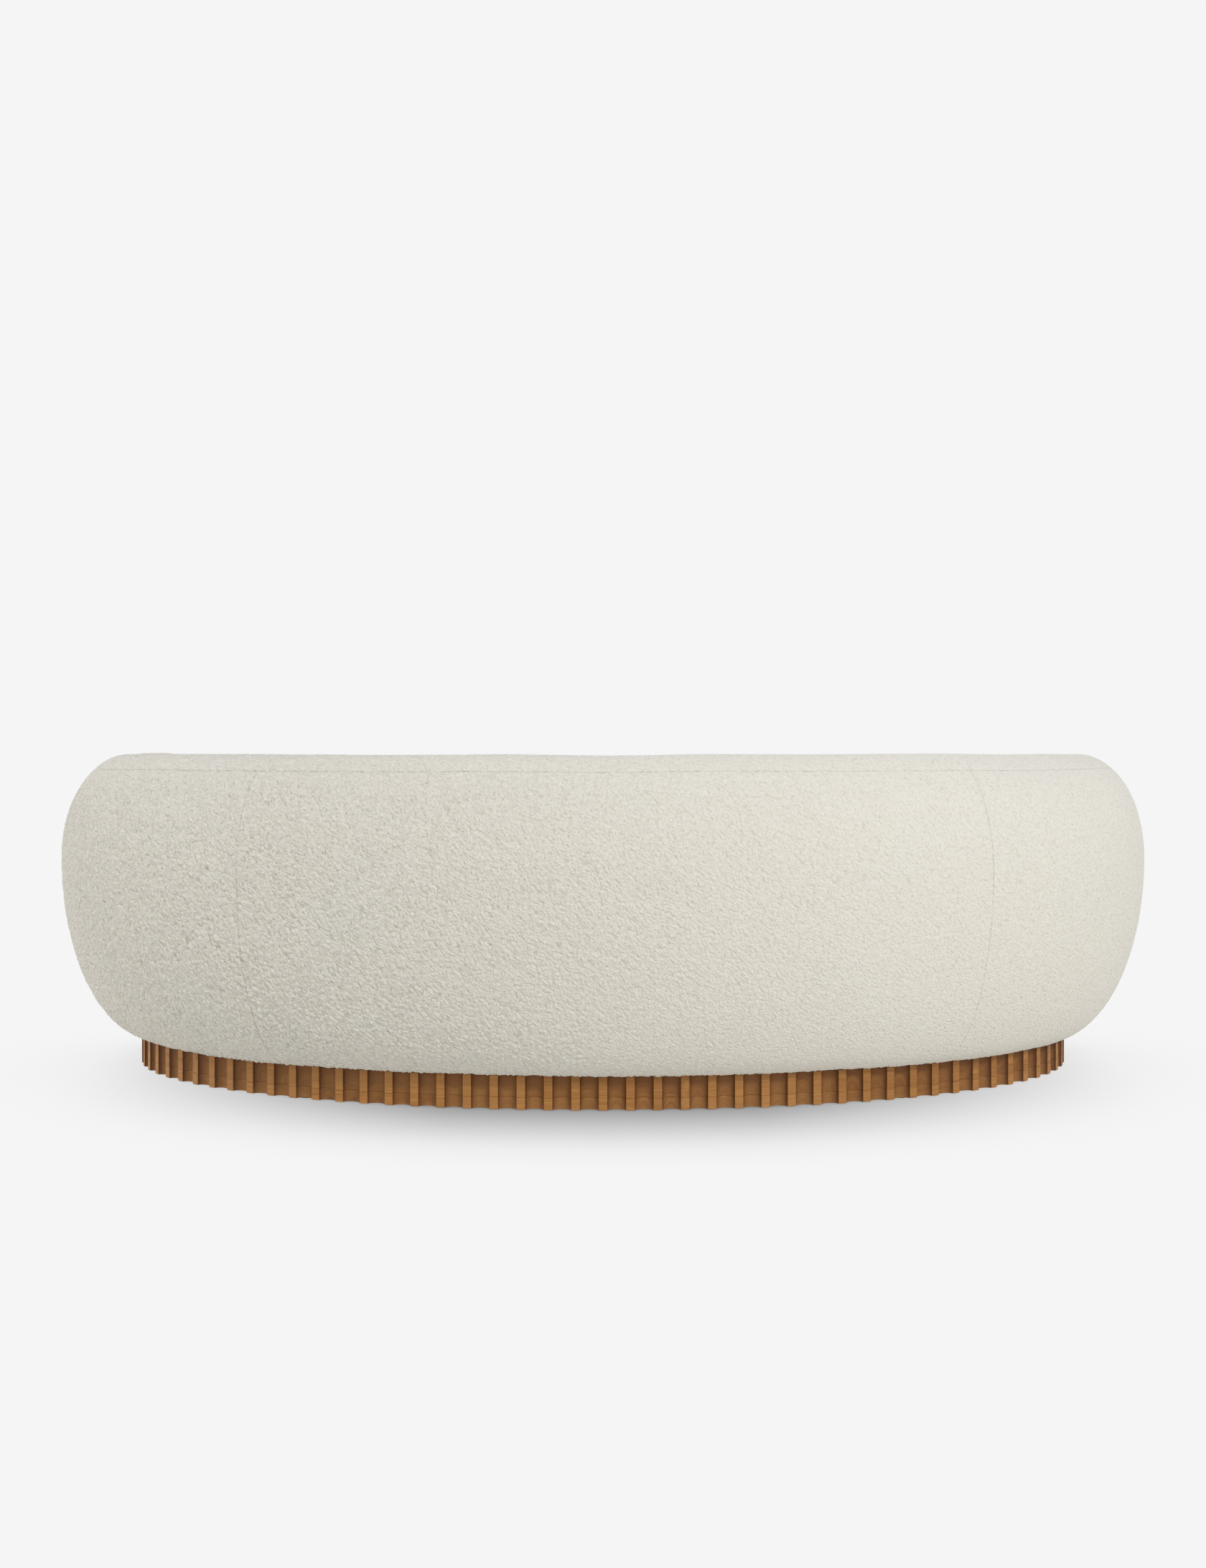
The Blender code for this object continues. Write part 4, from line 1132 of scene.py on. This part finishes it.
def floor_material():
    """A pale glowing floor with a painted shadow: it darkens by ambient occlusion close to whatever
    stands on it, less so towards its ends.
    """
    n = Look("floor_pale")
    near = n.add("ShaderNodeAmbientOcclusion", {"Distance": FLOOR_NEAR}, samples=12)
    shade = n.ramp(near.outputs["AO"], FLOOR_SHADE)
    side = n.spread(n.math("ABSOLUTE", n.parts(n.position())["X"]), 0.30, 1.15, 1.0, 0.15)
    shade = n.mix(side, (PALE, PALE, PALE), shade)
    seen = n.add("ShaderNodeLightPath").outputs["Is Camera Ray"]
    colour = n.mix(seen, (BOUNCE, BOUNCE, BOUNCE * 0.97), shade)
    return n.finish(Emission_Color=colour, Emission_Strength=1.0, Base_Color=(0, 0, 0),
                    Roughness=1.0, Specular_IOR_Level=0.0)


def studio_world(scene):
    """Soft light from all round that leans to some sides and is cooler from -X and above."""
    world = bpy.data.worlds.new("studio")
    scene.world = world
    world.use_nodes = True
    n = Nodes(world.node_tree)
    background = world.node_tree.nodes["Background"]
    where = n.add("ShaderNodeTexCoord").outputs["Generated"]
    seen = n.add("ShaderNodeLightPath").outputs["Is Camera Ray"]
    light = n.math("ADD", n.along(where, WORLD_LEAN), WORLD_LIGHT)
    strength = n.add("ShaderNodeMix", {"Factor": seen, "A": light, "B": PALE})
    n.feed(strength.outputs["Result"], background.inputs["Strength"])
    tint = n.mix(n.along(where, WORLD_COOL_FROM), (1, 1, 1), WORLD_COOL)
    n.feed(n.mix(seen, tint, (1, 1, 1)), background.inputs["Color"])


def build_stage():
    scene = bpy.context.scene
    scene.view_settings.view_transform = "Standard"
    camera = bpy.data.objects.new("camera", bpy.data.cameras.new("camera"))
    scene.collection.objects.link(camera)
    camera.data.sensor_width = 36.0
    camera.data.lens = LENS
    camera.data.shift_y = LENS_SHIFT
    camera.location = (0.0, PLAN_Y + CAMERA_BACK, CAMERA_HEIGHT)
    camera.rotation_euler = (math.radians(90), 0.0, math.radians(180))
    scene.camera = camera

    floor = new_object("floor", [(-9, -9, 0), (9, -9, 0), (9, 9, 0), (-9, 9, 0)],
                       [np.array([[0, 1, 2, 3]])], smooth=False)
    floor.data.materials.append(floor_material())
    studio_world(scene)
    for kind, name, place, target, size, power, colour in LIGHTS:
        data = bpy.data.lights.new(name, kind)
        data.energy = power
        data.color = colour
        if kind == "SUN":
            data.angle = size
        else:
            data.shape = "RECTANGLE"
            data.size = data.size_y = size
        lamp = bpy.data.objects.new(name, data)
        lamp.location = place
        lamp.rotation_mode = "QUATERNION"
        lamp.rotation_quaternion = (Vector(target) - Vector(place)).to_track_quat("-Z", "Y")
        scene.collection.objects.link(lamp)


build_stage()
build_shell()
build_top()
build_front_border()
build_cushion()
build_deck()
build_plinth()
dress_nodes()
